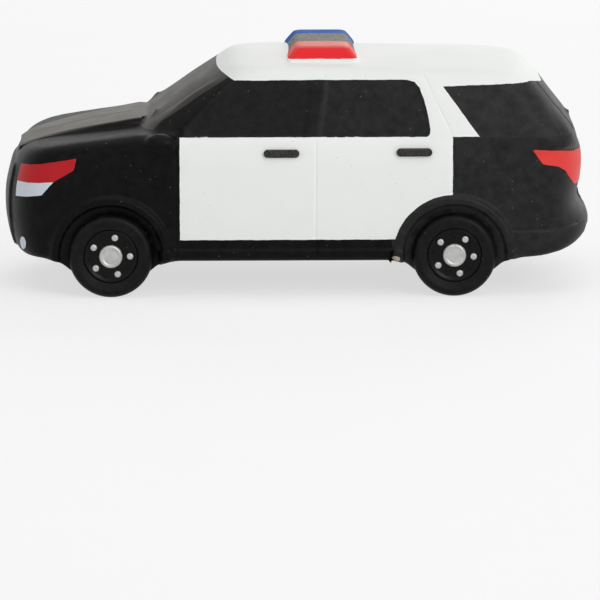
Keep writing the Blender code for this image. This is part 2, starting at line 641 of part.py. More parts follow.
def build_sides(skin, core):
    """Doors, panes, pillars, sills, lamps, handles and mirrors of both sides."""
    for side_name, side in SIDES.items():
        front_door = side_inlay(f"door_front_{side_name}", "white", skin, core, FRONT_DOOR, side)
        rear_door = side_inlay(f"door_rear_{side_name}", "white", skin, core, rear_door_outline(), side)
        for door, (corner, centre) in zip((front_door, rear_door), HANDLES.items()):
            build_handle(f"handle_{corner}_{side_name}", centre, side, door)
        for name, paint_name, outline, wall, depth in (
                ("window_front", "glass_black", FRONT_PANE, glass_wall, PANEL_DEPTH),
                ("window_rear", "glass_black", REAR_PANE, glass_wall, PANEL_DEPTH),
                ("pillar_rear", "white", REAR_PILLAR, glass_wall, PANEL_DEPTH),
                ("window_quarter", "glass_black", QUARTER_PANE, glass_wall, QUARTER_DEPTH),
                ("sill", "black", SILL_OUTLINE, body_wall, PANEL_DEPTH),
                ("headlamp_red", "red", HEADLAMP_RED, body_wall, LAMP_DEPTH),
                ("headlamp_pale", "pale", HEADLAMP_PALE, body_wall, LAMP_DEPTH),
                ("tail_lamp", "red", TAIL_LAMP, body_wall, LAMP_DEPTH)):
            side_inlay(f"{name}_{side_name}", paint_name, skin, core, outline, side, wall, depth)
        pod(f"mirror_{side_name}", MIRROR, side, 0.0, "black")
        hollow(core, pod(f"mirror_{side_name}_pocket", MIRROR, side, SEAM))


def build_ends(skin, core):
    """Hood, windshield, rear pane, tailgate, grille, bumpers and fog lamps."""
    windshield = end_inlay("windshield", "glass_black", skin, core, WINDSHIELD, 1,
                           lambda z: end_lean(2, z) - PANE_BOW_FRONT)
    hood_solid("hood", 0.0, "black")
    hood_pocket = hood_solid("hood_pocket", SEAM)
    for carrier in (core, windshield):
        hollow(carrier, hood_pocket)
    end_inlay("rear_window", "glass_black", skin, core, REAR_PANE_END, -1,
              lambda z: end_lean(3, z) - PANE_BOW_REAR)
    end_inlay("tailgate", "black", skin, core, TAILGATE, -1, lambda z: TAILGATE_BACK)
    through = 2.0 * REACH_OUT
    for name, outline in (("bumper_front", FRONT_BUMPER), ("bumper_rear", REAR_BUMPER)):
        bumper = inlay(name, "black", skin, core, outline, lambda x, z: -through, lambda x, z: through,
                       lambda x, z, y: (x, y, z))
        if outline is FRONT_BUMPER:
            end_inlay("grille", "black", lower_body("grille_form", GRILLE_PROUD), core, GRILLE, 1,
                      lambda z: GRILLE_BACK, bumper)
            for side_name, side in SIDES.items():
                pod(f"fog_lamp_{side_name}", FOG_LAMP, side, 0.0, "pale")
                hollow(bumper, pod(f"fog_lamp_{side_name}_pocket", FOG_LAMP, side, SEAM))
    return windshield


def main():
    """Build every piece."""
    for old in list(bpy.data.objects):
        bpy.data.objects.remove(old, do_unlink=True)
    skin = body_skin()
    core = copy_of(skin, "body", "black")
    windshield = build_ends(skin, core)
    build_sides(skin, core)
    for corner in WHEELS:
        for side_name in SIDES:
            wheel_pieces(corner, side_name, core)
    across = 3.0 * REACH_OUT
    roof = inlay("roof", "white", skin, core, ROOF_PROFILE, lambda x, z: -across, lambda x, z: across,
                 lambda x, z, y: (x, y, z), windshield)
    build_light_bar(roof)


main()
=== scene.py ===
"""Looks of a foam squeeze toy shaped as a police sport utility vehicle.

The toy is one moulding of polyurethane foam. Its skin is lofted, fused and relieved here as one
surface, then cut along the paint edges into a closed shell for each painted region, so that
shading runs on across the seams as it does on the real moulding.

All sizes are in millimetres, X forward, Y to the vehicle's left, Z up, and the floor is at zero.
"""

import logging
import math
from dataclasses import dataclass, field
from enum import Enum
from typing import Callable, Sequence

import bmesh
import bpy
import numpy as np
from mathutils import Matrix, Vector

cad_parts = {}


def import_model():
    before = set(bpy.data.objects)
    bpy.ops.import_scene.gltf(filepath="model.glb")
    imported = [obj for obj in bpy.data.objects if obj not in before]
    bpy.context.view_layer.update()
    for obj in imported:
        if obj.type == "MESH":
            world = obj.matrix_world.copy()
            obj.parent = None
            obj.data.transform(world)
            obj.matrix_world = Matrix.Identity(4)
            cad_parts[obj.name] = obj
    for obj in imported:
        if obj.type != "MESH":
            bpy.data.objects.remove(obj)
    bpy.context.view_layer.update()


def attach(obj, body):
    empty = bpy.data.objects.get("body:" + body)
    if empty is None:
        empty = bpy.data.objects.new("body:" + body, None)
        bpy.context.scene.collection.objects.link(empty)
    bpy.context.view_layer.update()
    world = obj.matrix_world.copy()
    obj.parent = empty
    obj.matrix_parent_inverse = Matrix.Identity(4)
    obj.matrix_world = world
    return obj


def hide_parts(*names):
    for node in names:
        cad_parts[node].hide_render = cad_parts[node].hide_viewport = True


LOG = logging.getLogger("toy")
MM = 0.001
BODY = "root"
FAR_OUTSIDE = 99.0          # distance given to points that a field doesn't reach
NEAR_LINE = 0.004           # points as near as this to a cutting line lie on it
WELD = 0.001                # points as near as this to each other become one
FLAT_DEGREES = 1.5          # faces that turn by less than this count as flat
TINY = 1e-12                # keeps a division from zero
SHARPEST = 0.3              # keeps the rounding of a sharp corner from running far out

Table = Sequence[tuple[float, ...]]


class Side(Enum):
    """The two sides of the toy, with the sign of Y there."""

    LEFT = 1
    RIGHT = -1

    @property
    def label(self) -> str:
        """Side as the nodes' names spell it."""
        return self.name.lower()


class View(Enum):
    """Direction that an outline is seen from, with the two coordinates that it uses."""

    SIDE = (0, 2)
    TOP = (0, 1)
    END = (1, 2)


def monotone(table: Table, values: np.ndarray | float) -> np.ndarray:
    """Cubic curve without overshoot through a table.

    Args:
        table: rows of (x, y), x rising.
        values: where to read the curve.

    Returns:
        The curve's heights, held constant past the table's ends.
    """
    xs, ys = (np.array(column, dtype=float) for column in zip(*table))
    steps = np.diff(xs)
    slopes = np.diff(ys) / steps
    tangents = np.zeros_like(ys)
    for i in range(1, len(xs) - 1):
        if slopes[i - 1] * slopes[i] > 0.0:
            w0, w1 = 2 * steps[i] + steps[i - 1], steps[i] + 2 * steps[i - 1]
            tangents[i] = (w0 + w1) / (w0 / slopes[i - 1] + w1 / slopes[i])
    tangents[0], tangents[-1] = slopes[0], slopes[-1]
    at = np.clip(np.asarray(values, dtype=float), xs[0], xs[-1])
    i = np.clip(np.searchsorted(xs, at) - 1, 0, len(xs) - 2)
    t = (at - xs[i]) / steps[i]
    return ((1 + 2 * t) * (1 - t) ** 2 * ys[i] + t * (1 - t) ** 2 * steps[i] * tangents[i]
            + t * t * (3 - 2 * t) * ys[i + 1] - t * t * (1 - t) * steps[i] * tangents[i + 1])


def ease(low: float, high: float, values: np.ndarray) -> np.ndarray:
    """Smooth step from 0 at low to 1 at high, or down where low is above high."""
    t = np.clip((values - low) / (high - low), 0.0, 1.0)
    return t * t * (3.0 - 2.0 * t)


def linear(hex_colour: str) -> tuple[float, float, float, float]:
    """Linear colour of an sRGB hex value.

    Args:
        hex_colour: a hash and six digits.

    Returns:
        Red, green, blue and an alpha of 1, as a shader socket takes them.
    """
    channels = [int(hex_colour[i:i + 2], 16) / 255.0 for i in (1, 3, 5)]
    red, green, blue = (c / 12.92 if c <= 0.04045 else ((c + 0.055) / 1.055) ** 2.4 for c in channels)
    return red, green, blue, 1.0


@dataclass(frozen=True)
class Outline:
    """Closed outline in one view, its corners rounded by a radius."""

    points: tuple[tuple[float, float], ...]
    radius: float = 0.0

    def distance(self, u: np.ndarray, v: np.ndarray) -> np.ndarray:
        """Signed distance to the outline.

        Args:
            u: first coordinates.
            v: second coordinates.

        Returns:
            Distances, negative inside.
        """
        corners = np.array(self.shrunk())
        inside = np.zeros(u.shape, dtype=bool)
        nearest = np.full(u.shape, np.inf)
        for (u0, v0), (u1, v1) in zip(corners, np.roll(corners, -1, axis=0)):
            du, dv = u1 - u0, v1 - v0
            t = np.clip(((u - u0) * du + (v - v0) * dv) / (du * du + dv * dv), 0.0, 1.0)
            nearest = np.minimum(nearest, np.hypot(u - u0 - t * du, v - v0 - t * dv))
            crosses = (v0 > v) != (v1 > v)
            height = np.where(crosses, u0 + (v - v0) * du / (dv if dv else 1.0), 0.0)
            inside ^= crosses & (u < height)
        return np.where(inside, -nearest, nearest) - self.radius

    def shrunk(self) -> list[tuple[float, float]]:
        """Corners moved inwards by the corner radius.

        Returns:
            The corners, as many as before.
        """
        if not self.radius:
            return list(self.points)
        corners = [Vector(point) for point in self.points]
        area = sum(a.x * b.y - b.x * a.y for a, b in zip(corners, corners[1:] + corners[:1]))
        turn = -self.radius if area > 0 else self.radius
        moved = []
        for i, here in enumerate(corners):
            before = (here - corners[i - 1]).normalized()
            after = (corners[(i + 1) % len(corners)] - here).normalized()
            out_before, out_after = Vector((before.y, -before.x)), Vector((after.y, -after.x))
            both = out_before + out_after
            moved.append(here + both * (turn / max(SHARPEST, both.dot(out_before))))
        return [(point.x, point.y) for point in moved]


def line_distance(line: Sequence[tuple[float, float]], u: np.ndarray, v: np.ndarray) -> np.ndarray:
    """Distance from points to an open line of straight stretches.

    Args:
        line: the line's corners.
        u: first coordinates of the points.
        v: second coordinates of the points.

    Returns:
        Distances, never negative.
    """
    nearest = np.full(u.shape, np.inf)
    for (u0, v0), (u1, v1) in zip(line, line[1:]):
        du, dv = u1 - u0, v1 - v0
        t = np.clip(((u - u0) * du + (v - v0) * dv) / (du * du + dv * dv), 0.0, 1.0)
        nearest = np.minimum(nearest, np.hypot(u - u0 - t * du, v - v0 - t * dv))
    return nearest


class Surface:
    """Triangle mesh held in arrays, in millimetres."""

    def __init__(self, points: np.ndarray, faces: np.ndarray) -> None:
        """Keep the points (n, 3) and the faces (m, 3)."""
        self.points = points
        self.faces = faces

    def edges(self) -> tuple[np.ndarray, np.ndarray]:
        """Edges of the mesh.

        Returns:
            Pairs of point numbers (k, 2), and the edge number of each side of each face (m, 3).
        """
        sides = np.stack([self.faces, np.roll(self.faces, -1, axis=1)], axis=2)
        low, high = sides.min(axis=2), sides.max(axis=2)
        keys, inverse = np.unique(low * len(self.points) + high, return_inverse=True)
        pairs = np.stack([keys // len(self.points), keys % len(self.points)], axis=1)
        return pairs, inverse.reshape(self.faces.shape)

    def split(self, sides: np.ndarray, hit: np.ndarray, added: np.ndarray) -> None:
        """Split edges at given points, and the faces beside them.

        Args:
            sides: edge number of each side of each face.
            hit: whether an edge is split.
            added: the new points, in the order of the split edges.
        """
        number = np.full(len(hit), -1)
        number[hit] = len(self.points) + np.arange(int(hit.sum()))
        middle = number[sides]
        count = (middle >= 0).sum(axis=1)
        made = [self.faces[count == 0]]
        columns = np.arange(3)
        for hits in (1, 2, 3):
            chosen = count == hits
            face, mid = self.faces[chosen], middle[chosen]
            if hits == 1:
                first = (mid >= 0).argmax(axis=1)
            elif hits == 2:
                first = ((mid < 0).argmax(axis=1) + 1) % 3
            else:
                first = np.zeros(len(face), dtype=int)
            turn = (first[:, None] + columns) % 3
            a, b, c = np.take_along_axis(face, turn, axis=1).T
            p, q, r = np.take_along_axis(mid, turn, axis=1).T
            if hits == 1:
                made += [np.stack([a, p, c], 1), np.stack([p, b, c], 1)]
            elif hits == 2:
                made += [np.stack([p, b, q], 1), np.stack([a, p, q], 1), np.stack([a, q, c], 1)]
            else:
                made += [np.stack([a, p, r], 1), np.stack([p, b, q], 1),
                         np.stack([r, q, c], 1), np.stack([p, q, r], 1)]
        self.points = np.concatenate([self.points, added])
        self.faces = np.concatenate(made)

    def refine(self, limit: Callable[[np.ndarray], np.ndarray], rounds: int) -> None:
        """Halve edges that are longer than a limit given by place.

        Args:
            limit: longest edge allowed at given points.
            rounds: how many times to halve.
        """
        for _ in range(rounds):
            pairs, sides = self.edges()
            ends = self.points[pairs]
            middle = ends.mean(axis=1)
            length = np.linalg.norm(ends[:, 0] - ends[:, 1], axis=1)
            hit = length > limit(middle)
            self.split(sides, hit, middle[hit])

    def cut(self, level: Callable[[np.ndarray], np.ndarray]) -> None:
        """Split edges where a field changes sign, so that faces end at its zero line.

        Args:
            level: the field, read at given points.
        """
        values = level(self.points)
        pairs, sides = self.edges()
        a, b = values[pairs[:, 0]], values[pairs[:, 1]]
        hit = (a * b < 0.0) & (np.minimum(np.abs(a), np.abs(b)) > NEAR_LINE)
        t = (a[hit] / (a[hit] - b[hit]))[:, None]
        ends = self.points[pairs[hit]]
        self.split(sides, hit, ends[:, 0] + t * (ends[:, 1] - ends[:, 0]))

    def soften(self, rounds: int, strength: float = 0.5) -> None:
        """Move each point towards the middle of its neighbours, which rounds moulded edges.

        Args:
            rounds: how many times to move them.
            strength: share of the way that a point moves.
        """
        pairs, _ = self.edges()
        ends = np.concatenate([pairs[:, 0], pairs[:, 1]])
        others = np.concatenate([pairs[:, 1], pairs[:, 0]])
        count = np.bincount(ends, minlength=len(self.points))[:, None]
        for _ in range(rounds):
            total = np.stack([np.bincount(ends, self.points[others, axis], len(self.points))
                              for axis in range(3)], axis=1)
            self.points = self.points + strength * (total / count - self.points)

    def normals(self) -> np.ndarray:
        """Unit normals at the points, weighted by the faces' areas.

        Returns:
            One normal for each point.
        """
        a, b, c = (self.points[self.faces[:, i]] for i in range(3))
        face = np.cross(b - a, c - a)
        total = np.stack([sum(np.bincount(self.faces[:, i], face[:, axis], len(self.points))
                              for i in range(3)) for axis in range(3)], axis=1)
        return total / np.maximum(np.linalg.norm(total, axis=1, keepdims=True), TINY)

    def centres(self) -> np.ndarray:
        """Middle points of the faces."""
        return self.points[self.faces].mean(axis=1)


def new_object(name: str, points: np.ndarray, faces: np.ndarray, normals: np.ndarray | None,
               material: bpy.types.Material) -> bpy.types.Object:
    """Smooth mesh object from millimetre arrays.

    Args:
        name: name of the piece.
        points: corner points.
        faces: faces as rows of point numbers.
        normals: normals at the points, or None to have Blender work them out.
        material: finish of the whole piece.

    Returns:
        The object, linked to the scene.
    """
    mesh = bpy.data.meshes.new(name)
    mesh.from_pydata((points * MM).tolist(), [], faces.tolist())
    mesh.polygons.foreach_set("use_smooth", np.ones(len(mesh.polygons), dtype=bool))
    if normals is not None:
        mesh.normals_split_custom_set_from_vertices(normals.tolist())
    mesh.materials.append(material)
    made = bpy.data.objects.new(name, mesh)
    bpy.context.scene.collection.objects.link(made)
    return made


def shell(name: str, surface: Surface, normals: np.ndarray, chosen: np.ndarray, thickness: float,
          material: bpy.types.Material) -> bpy.types.Object:
    """Closed shell under the chosen faces of a surface.

    Args:
        name: name of the piece.
        surface: the whole skin.
        normals: normals at the skin's points.
        chosen: which faces belong to the piece.
        thickness: how thick the shell is, inwards.
        material: finish of the piece.

    Returns:
        The shell, with the skin's own normals, so that its edge with a neighbour doesn't show.
    """
    used, faces = np.unique(surface.faces[chosen], return_inverse=True)
    faces = faces.reshape(-1, 3)
    outer, out = surface.points[used], normals[used]
    count = len(used)
    starts, ends = faces.ravel(), np.roll(faces, -1, axis=1).ravel()
    forward = starts * count + ends
    rim = ~np.isin(forward, ends * count + starts)
    a, b = starts[rim], ends[rim]
    walls = np.concatenate([np.stack([b, a, a + count], 1), np.stack([b, a + count, b + count], 1)])
    every = np.concatenate([faces, faces[:, ::-1] + count, walls])
    return new_object(name, np.concatenate([outer, outer - out * thickness]), every,
                      np.concatenate([out, -out]), material)


def merge_flat(piece: bpy.types.Object) -> None:
    """Merge the faces of a piece where it is flat.

    Args:
        piece: the piece, whose mesh is replaced.
    """
    step = piece.modifiers.new("merge", "DECIMATE")
    step.decimate_type = "DISSOLVE"
    step.angle_limit = math.radians(FLAT_DEGREES)
    graph = bpy.context.evaluated_depsgraph_get()
    merged = bpy.data.meshes.new_from_object(piece.evaluated_get(graph))
    piece.modifiers.clear()
    piece.data = merged


def rings_surface(rings: np.ndarray) -> Surface:
    """Closed surface over equal rings, each end closed to its middle.

    Args:
        rings: points as (rows, count, 3).

    Returns:
        The surface.
    """
    rows, count, _ = rings.shape
    i = np.arange(count)
    j = (i + 1) % count
    faces = []
    for row in range(rows - 1):
        a, b, c, d = row * count + i, row * count + j, (row + 1) * count + j, (row + 1) * count + i
        faces += [np.stack([a, b, c], 1), np.stack([a, c, d], 1)]
    first, last = rows * count, rows * count + 1
    faces += [np.stack([j, i, np.full(count, first)], 1),
              np.stack([(rows - 1) * count + i, (rows - 1) * count + j, np.full(count, last)], 1)]
    points = np.concatenate([rings.reshape(-1, 3), rings[:1].mean(axis=1), rings[-1:].mean(axis=1)])
    return Surface(points, np.concatenate(faces))


@dataclass(frozen=True)
class LowerBody:
    """Lower body: rounded sections along X, drawn in to a rounded nose and tail."""

    nose_start: float = 42.0    # x from which the sections are drawn in
    tail_start: float = -42.0
    end_roundness: float = 2.7  # power of the ends' rounded plan, 2 being an ellipse
    deck_front_share: float = 0.45  # share of the reach that the deck keeps in the middle
    deck_crown: float = 0.25    # how far the deck rises to the middle
    crown_start: float = 0.9    # share of the height from which the deck is crowned
    flat_below: float = 0.02    # share of the height up to which the ends' edge lies flat
    flat_above: float = 0.985
    end_steps: int = 40
    middle_steps: int = 60
    section_steps: int = 8
    # columns: x, half width
    width: Table = ((-42.0, 21.2), (-30.0, 21.8), (-10.0, 22.0), (15.0, 22.0), (30.0, 21.7), (42.0, 21.0))
    # columns: x, height of the shoulder line
    shoulder: Table = ((-54.5, 26.4), (-52.0, 27.8), (-48.0, 28.9), (-44.0, 29.5), (-36.0, 29.9),
                       (25.0, 29.9), (28.0, 30.1), (34.0, 29.4), (40.0, 28.6), (44.0, 28.0),
                       (48.0, 27.2), (50.0, 26.6), (52.0, 25.5), (54.0, 23.6))
    # columns: x, height of the underside
    belly: Table = ((-55.0, 10.9), (-54.0, 10.2), (-52.0, 9.1), (-50.0, 8.3), (-48.0, 7.8),
                    (-44.0, 7.2), (-38.5, 6.9), (46.0, 6.9), (50.0, 6.9), (51.7, 7.2), (53.2, 8.0),
                    (54.5, 9.4))
    # columns: inset from the half width (None on the middle line), share of the height
    section: Sequence[tuple[float | None, float]] = (
        (None, 0.0), (1.5, 0.0), (0.6, 0.012), (0.28, 0.045), (0.08, 0.16), (0.0, 0.45), (0.05, 0.68),
        (0.35, 0.86), (0.85, 0.95), (1.7, 0.99), (3.2, 1.0), (None, 1.0))
    # columns: share of the height, reach forward or back
    nose: Table = ((0.0, 52.3), (0.05, 52.8), (0.13, 53.3), (0.24, 53.7), (0.4, 54.0), (0.55, 54.0),
                   (0.68, 53.8), (0.78, 53.4), (0.87, 52.9), (0.95, 52.2), (1.0, 51.2))
    tail: Table = ((0.0, 53.9), (0.03, 54.7), (0.07, 55.0), (0.13, 54.9), (0.22, 54.2), (0.3, 53.2),
                   (0.36, 52.7), (0.42, 52.6), (0.48, 52.8), (0.6, 53.2), (0.8, 53.5), (0.92, 53.2),
                   (1.0, 51.9))

    def half_section(self, width: float) -> tuple[np.ndarray, np.ndarray]:
        """Half of a cross section, from the middle below to the middle above.

        Args:
            width: half width of the section.

        Returns:
            Half widths, and shares of the height.
        """
        steps = np.linspace(0, len(self.section) - 1, self.section_steps * (len(self.section) - 1) + 1)
        y = [0.0 if inset is None else width - inset for inset, _ in self.section]
        return (monotone(tuple(enumerate(y)), steps),
                monotone(tuple((i, share) for i, (_, share) in enumerate(self.section)), steps))

    def ring(self, start: float, angle: float = 0.0, end: int = 0) -> np.ndarray:
        """One closed ring of the body.

        Args:
            start: the station that the ring belongs to.
            angle: how far the ring has turned into a rounded end.
            end: 1 in the nose, -1 in the tail, 0 between them.

        Returns:
            The ring's points.
        """
        width = float(monotone(self.width, start))
        y, share = self.half_section(width)
        power = 2.0 / self.end_roundness
        along, across = math.sin(angle) ** power, max(0.0, math.cos(angle)) ** power
        x = np.full(y.shape, start)
        if end:
            reach = monotone(self.nose if end > 0 else self.tail, share) - abs(start)
            flat = ease(0.0, self.flat_below, share) * ease(1.0, self.flat_above, share)
            spread = self.deck_front_share + (1.0 - self.deck_front_share) * y / width
            x = start + end * reach * along * (spread + (1.0 - spread) * flat)
        low, high = monotone(self.belly, x), monotone(self.shoulder, x)
        z = low + share * (high - low)
        z = z + self.deck_crown * (1.0 - (y / width) ** 2) * ease(self.crown_start, 1.0, share)
        half = np.stack([x, y * across, z], axis=1)
        return np.concatenate([half, (half * (1.0, -1.0, 1.0))[-2:0:-1]])

    def surface(self) -> Surface:
        """The closed lower body.

        Returns:
            The body, from the tail to the nose.
        """
        angles = np.linspace(0.0, math.pi / 2, self.end_steps + 1)[1:]
        rings = [self.ring(self.tail_start, angle, -1) for angle in angles[::-1]]
        rings += [self.ring(x) for x in np.linspace(self.tail_start, self.nose_start, self.middle_steps)]
        rings += [self.ring(self.nose_start, angle, 1) for angle in angles]
        return rings_surface(np.array(rings))


@dataclass(frozen=True)
class Greenhouse:
    """Upper body: rounded plan outlines at rising heights, closed by the roof."""

    nose: float = 10.5          # length of the rounded front, seen from above
    tail: float = 9.0
    front_roundness: float = 3.2    # power of the rounded front, 2 being an ellipse
    rear_roundness: float = 3.6
    ring_points: int = 260
    level_steps: int = 7        # rings from one level to the next
    crown: float = 43.5         # height of the roof's middle line
    side_drop: float = 1.7      # how far the roof falls to its rim
    rim: tuple[float, float, float] = (15.6, 14.1, 42.3)    # half width, front and rear reach
    front_taper: float = 0.045  # share of the width that is lost towards the front
    taper_start: float = 8.0
    taper_end: float = 26.0
    roof_steps: int = 24
    roof_centre: float = 0.02   # size of the roof's last ring, as a share of its rim
    # columns: height, half width, front reach, rear reach
    levels: Table = ((27.2, 21.2, 34.0, 52.6), (29.9, 20.9, 30.4, 51.7), (32.4, 20.0, 27.2, 49.9),
                     (34.8, 19.1, 23.7, 48.0), (37.4, 18.1, 20.1, 46.1), (39.6, 17.2, 16.8, 44.3),
                     (40.8, 16.4, 15.0, 43.0))
    # columns: x, drop of the roof's middle line below its crown
    fall: Table = ((-45.0, 2.6), (-42.6, 1.7), (-39.5, 0.9), (-34.0, 0.5), (-20.0, 0.15), (-6.0, 0.0),
                   (6.0, -0.1), (9.5, 0.05), (11.4, 0.35), (12.8, 0.95), (14.1, 1.9), (17.5, 4.0))

    def plan(self, half_width: float, front: float, rear: float) -> tuple[np.ndarray, np.ndarray]:
        """Rounded outline seen from above.

        Args:
            half_width: half width.
            front: reach forward.
            rear: reach back.

        Returns:
            The outline's x and y.
        """
        angle = 2.0 * math.pi * (np.arange(self.ring_points) + 0.5) / self.ring_points
        c, s = np.cos(angle), np.sin(angle)
        ahead = c > 0
        power = 2.0 / np.where(ahead, self.front_roundness, self.rear_roundness)
        length = np.where(ahead, self.nose, self.tail)
        start = np.where(ahead, front - self.nose, self.tail - rear)
        x = start + np.sign(c) * length * np.abs(c) ** power
        narrow = 1.0 - self.front_taper * ease(self.taper_start, self.taper_end, x)
        return x, half_width * narrow * np.sign(s) * np.abs(s) ** power

    def roof(self, x: np.ndarray, y: np.ndarray) -> np.ndarray:
        """Height of the roof's outer surface."""
        return self.crown - monotone(self.fall, x) - self.side_drop * (y / self.rim[0]) ** 2

    def surface(self) -> Surface:
        """The closed upper body, which ends inside the lower one.

        Returns:
            The body, from below to the middle of the roof.
        """
        order = tuple(range(len(self.levels)))
        steps = np.linspace(0, len(order) - 1, self.level_steps * (len(order) - 1) + 1)
        columns = [monotone(tuple(zip(order, column)), steps) for column in zip(*self.levels)]
        rings = []
        for height, half_width, front, rear in zip(*columns):
            x, y = self.plan(half_width, front, rear)
            rings.append(np.stack([x, y, np.full(x.shape, height)], axis=1))
        x, y = self.plan(*self.rim)
        middle = x.mean()
        for share in np.linspace(1.0, self.roof_centre, self.roof_steps):
            at_x, at_y = middle + (x - middle) * share, y * share
            rings.append(np.stack([at_x, at_y, self.roof(at_x, at_y)], axis=1))
        return rings_surface(np.array(rings))


@dataclass(frozen=True)
class Hood:
    """Raised field on the front deck, with steep flanks and a steep rear end."""

    flank: float = 1.3          # width of the steep flanks
    rear_edge: float = 28.0     # at the flanks; the middle runs on under the windshield
    rear_reach: float = 4.0
    rear_ramp: float = 1.0
    turn_start: float = 6.0     # from the middle plane, where the rear edge turns forward
    turn_end: float = 9.0
    crown: float = 0.15
    foot_drop: float = 0.15     # how far the foot of the flanks sinks into the deck
    lowest: float = 24.0
    fine: float = 0.28          # longest edge on the flanks
    # columns: x, half width, height above the deck
    rows: Table = ((28.0, 10.0, 1.45), (34.0, 9.5, 1.2), (40.0, 8.9, 0.85), (45.0, 8.2, 0.45),
                   (48.5, 7.7, 0.15), (50.4, 7.0, 0.05), (51.6, 6.2, 0.0))

    def inside(self, points: np.ndarray) -> np.ndarray:
        """Distance inwards from the hood's edge on the deck."""
        width = monotone(tuple((x, width) for x, width, _ in self.rows), points[:, 0])
        return np.minimum(width - np.abs(points[:, 1]), points[:, 0] - self.end_at(points[:, 1]))

    def end_at(self, y: np.ndarray) -> np.ndarray:
        """Where the hood ends at the rear, by the distance from the middle plane."""
        return self.rear_edge - self.rear_reach * (1.0 - ease(self.turn_start, self.turn_end, np.abs(y)))

    def limit(self, points: np.ndarray) -> np.ndarray:
        """Longest edge allowed at points, for refining the skin."""
        near = (np.abs(self.inside(points)) < self.flank) & (points[:, 2] > self.lowest)
        return np.where(near & (points[:, 0] < self.rows[-1][0]), self.fine, FAR_OUTSIDE)

    def apply(self, surface: Surface, body: LowerBody) -> None:
        """Lift the deck of a skin to the hood's height.

        Args:
            surface: the skin, which is changed.
            body: the lower body that the deck belongs to.
        """
        x, y, z = surface.points.T
        width = monotone(tuple((at, wide) for at, wide, _ in self.rows), x)
        rise = monotone(tuple((at, high) for at, _, high in self.rows), x)
        half = self.flank / 2
        share = ease(-half, half, width - np.abs(y)) * ease(0.0, self.rear_ramp, x - self.end_at(y))
        top = monotone(body.shoulder, x) + body.deck_crown
        top = top + share * (rise + self.crown * (1.0 - (y / width) ** 2))
        lifted = (share > 0.0) & (z > self.lowest) & (x < self.rows[-1][0])
        surface.points[:, 2] = np.where(lifted, np.maximum(z, top - self.foot_drop * (1.0 - share)), z)


@dataclass(frozen=True)
class Ellipsoid:
    """Rounded pod fused to the skin."""

    centre: tuple[float, float, float]
    half_sizes: tuple[float, float, float]
    steps: int = 28
    pole: float = 0.02          # radians from each pole to the first ring

    def surface(self, side: Side) -> Surface:
        """Closed pod.

        Args:
            side: side of the toy that it stands on.

        Returns:
            The pod.
        """
        polar = np.linspace(self.pole, math.pi - self.pole, self.steps)[:, None]
        around = np.linspace(0.0, 2.0 * math.pi, 2 * self.steps, endpoint=False)[None, :]
        unit = np.stack([np.sin(polar) * np.cos(around), np.cos(polar) + 0.0 * around,
                         np.sin(polar) * np.sin(around)], axis=2)
        rings = np.array(self.centre) + unit * self.half_sizes
        return rings_surface(rings * (1.0, side.value, 1.0))


def fused(parts: Sequence[Surface], voxel: float) -> Surface:
    """Overlapping closed surfaces fused to one even skin.

    Args:
        parts: the closed surfaces.
        voxel: edge length of the skin's faces.

    Returns:
        The outer skin.
    """
    points, faces, start = [], [], 0
    for part in parts:
        points.append(part.points)
        faces.append(part.faces + start)
        start += len(part.points)
    mesh = bpy.data.meshes.new("fusing")
    mesh.from_pydata(np.concatenate(points).tolist(), [], np.concatenate(faces).tolist())
    carrier = bpy.data.objects.new("fusing", mesh)
    bpy.context.scene.collection.objects.link(carrier)
    step = carrier.modifiers.new("fuse", "REMESH")
    step.mode = "VOXEL"
    step.voxel_size = voxel
    graph = bpy.context.evaluated_depsgraph_get()
    even = carrier.evaluated_get(graph).to_mesh()
    even.calc_loop_triangles()
    corners = np.empty(len(even.vertices) * 3)
    even.vertices.foreach_get("co", corners)
    triangles = np.empty(len(even.loop_triangles) * 3, dtype=np.int32)
    even.loop_triangles.foreach_get("vertices", triangles)
    bpy.data.objects.remove(carrier, do_unlink=True)
    bpy.data.meshes.remove(mesh)
    return Surface(corners.reshape(-1, 3), triangles.reshape(-1, 3).astype(np.int64))


@dataclass(frozen=True)
class Region:
    """Painted region of the skin: an outline seen from one view, limited to one side or end."""

    name: str
    finish: str
    outline: Outline
    view: View
    replaces: tuple[str, ...]
    side: int = 0               # sign of Y, or 0 for both
    inner: float = 0.0          # nearest distance from the middle plane
    end: int = 0                # sign of X, or 0 for both
    lowest: float = -FAR_OUTSIDE

    def level(self, points: np.ndarray) -> np.ndarray:
        """Signed distance to the region's edge on the skin.

        Args:
            points: places on the skin.

        Returns:
            Distances, negative inside.
        """
        first, second = self.view.value
        u, v = points[:, first], points[:, second]
        value = self.outline.distance(*strayed(u, v))
        if self.side:
            value = np.maximum(value, self.inner - self.side * points[:, 1])
        if self.end:
            value = np.maximum(value, -self.end * points[:, 0])
        return np.maximum(value, self.lowest - points[:, 2])


# columns: size, rate along u, rate along v (both in radians a millimetre), phase
STRAY_U = ((0.02, 0.0, 1.1, 0.7), (0.014, 0.3, 3.1, 2.1), (0.01, 1.0, 7.7, 0.0))
STRAY_V = ((0.02, 0.9, 0.0, 1.9), (0.014, 2.9, 0.4, 0.3), (0.01, 7.1, 1.0, 0.0))


def strayed(u: np.ndarray, v: np.ndarray) -> tuple[np.ndarray, np.ndarray]:
    """Places moved a little, so that paint edges stray from their lines as sprayed edges do.

    Args:
        u: first coordinates.
        v: second coordinates.

    Returns:
        The moved coordinates.
    """
    du, dv = (sum(size * np.sin(along * u + across * v + phase) for size, along, across, phase in waves)
              for waves in (STRAY_U, STRAY_V))
    return u + du, v + dv


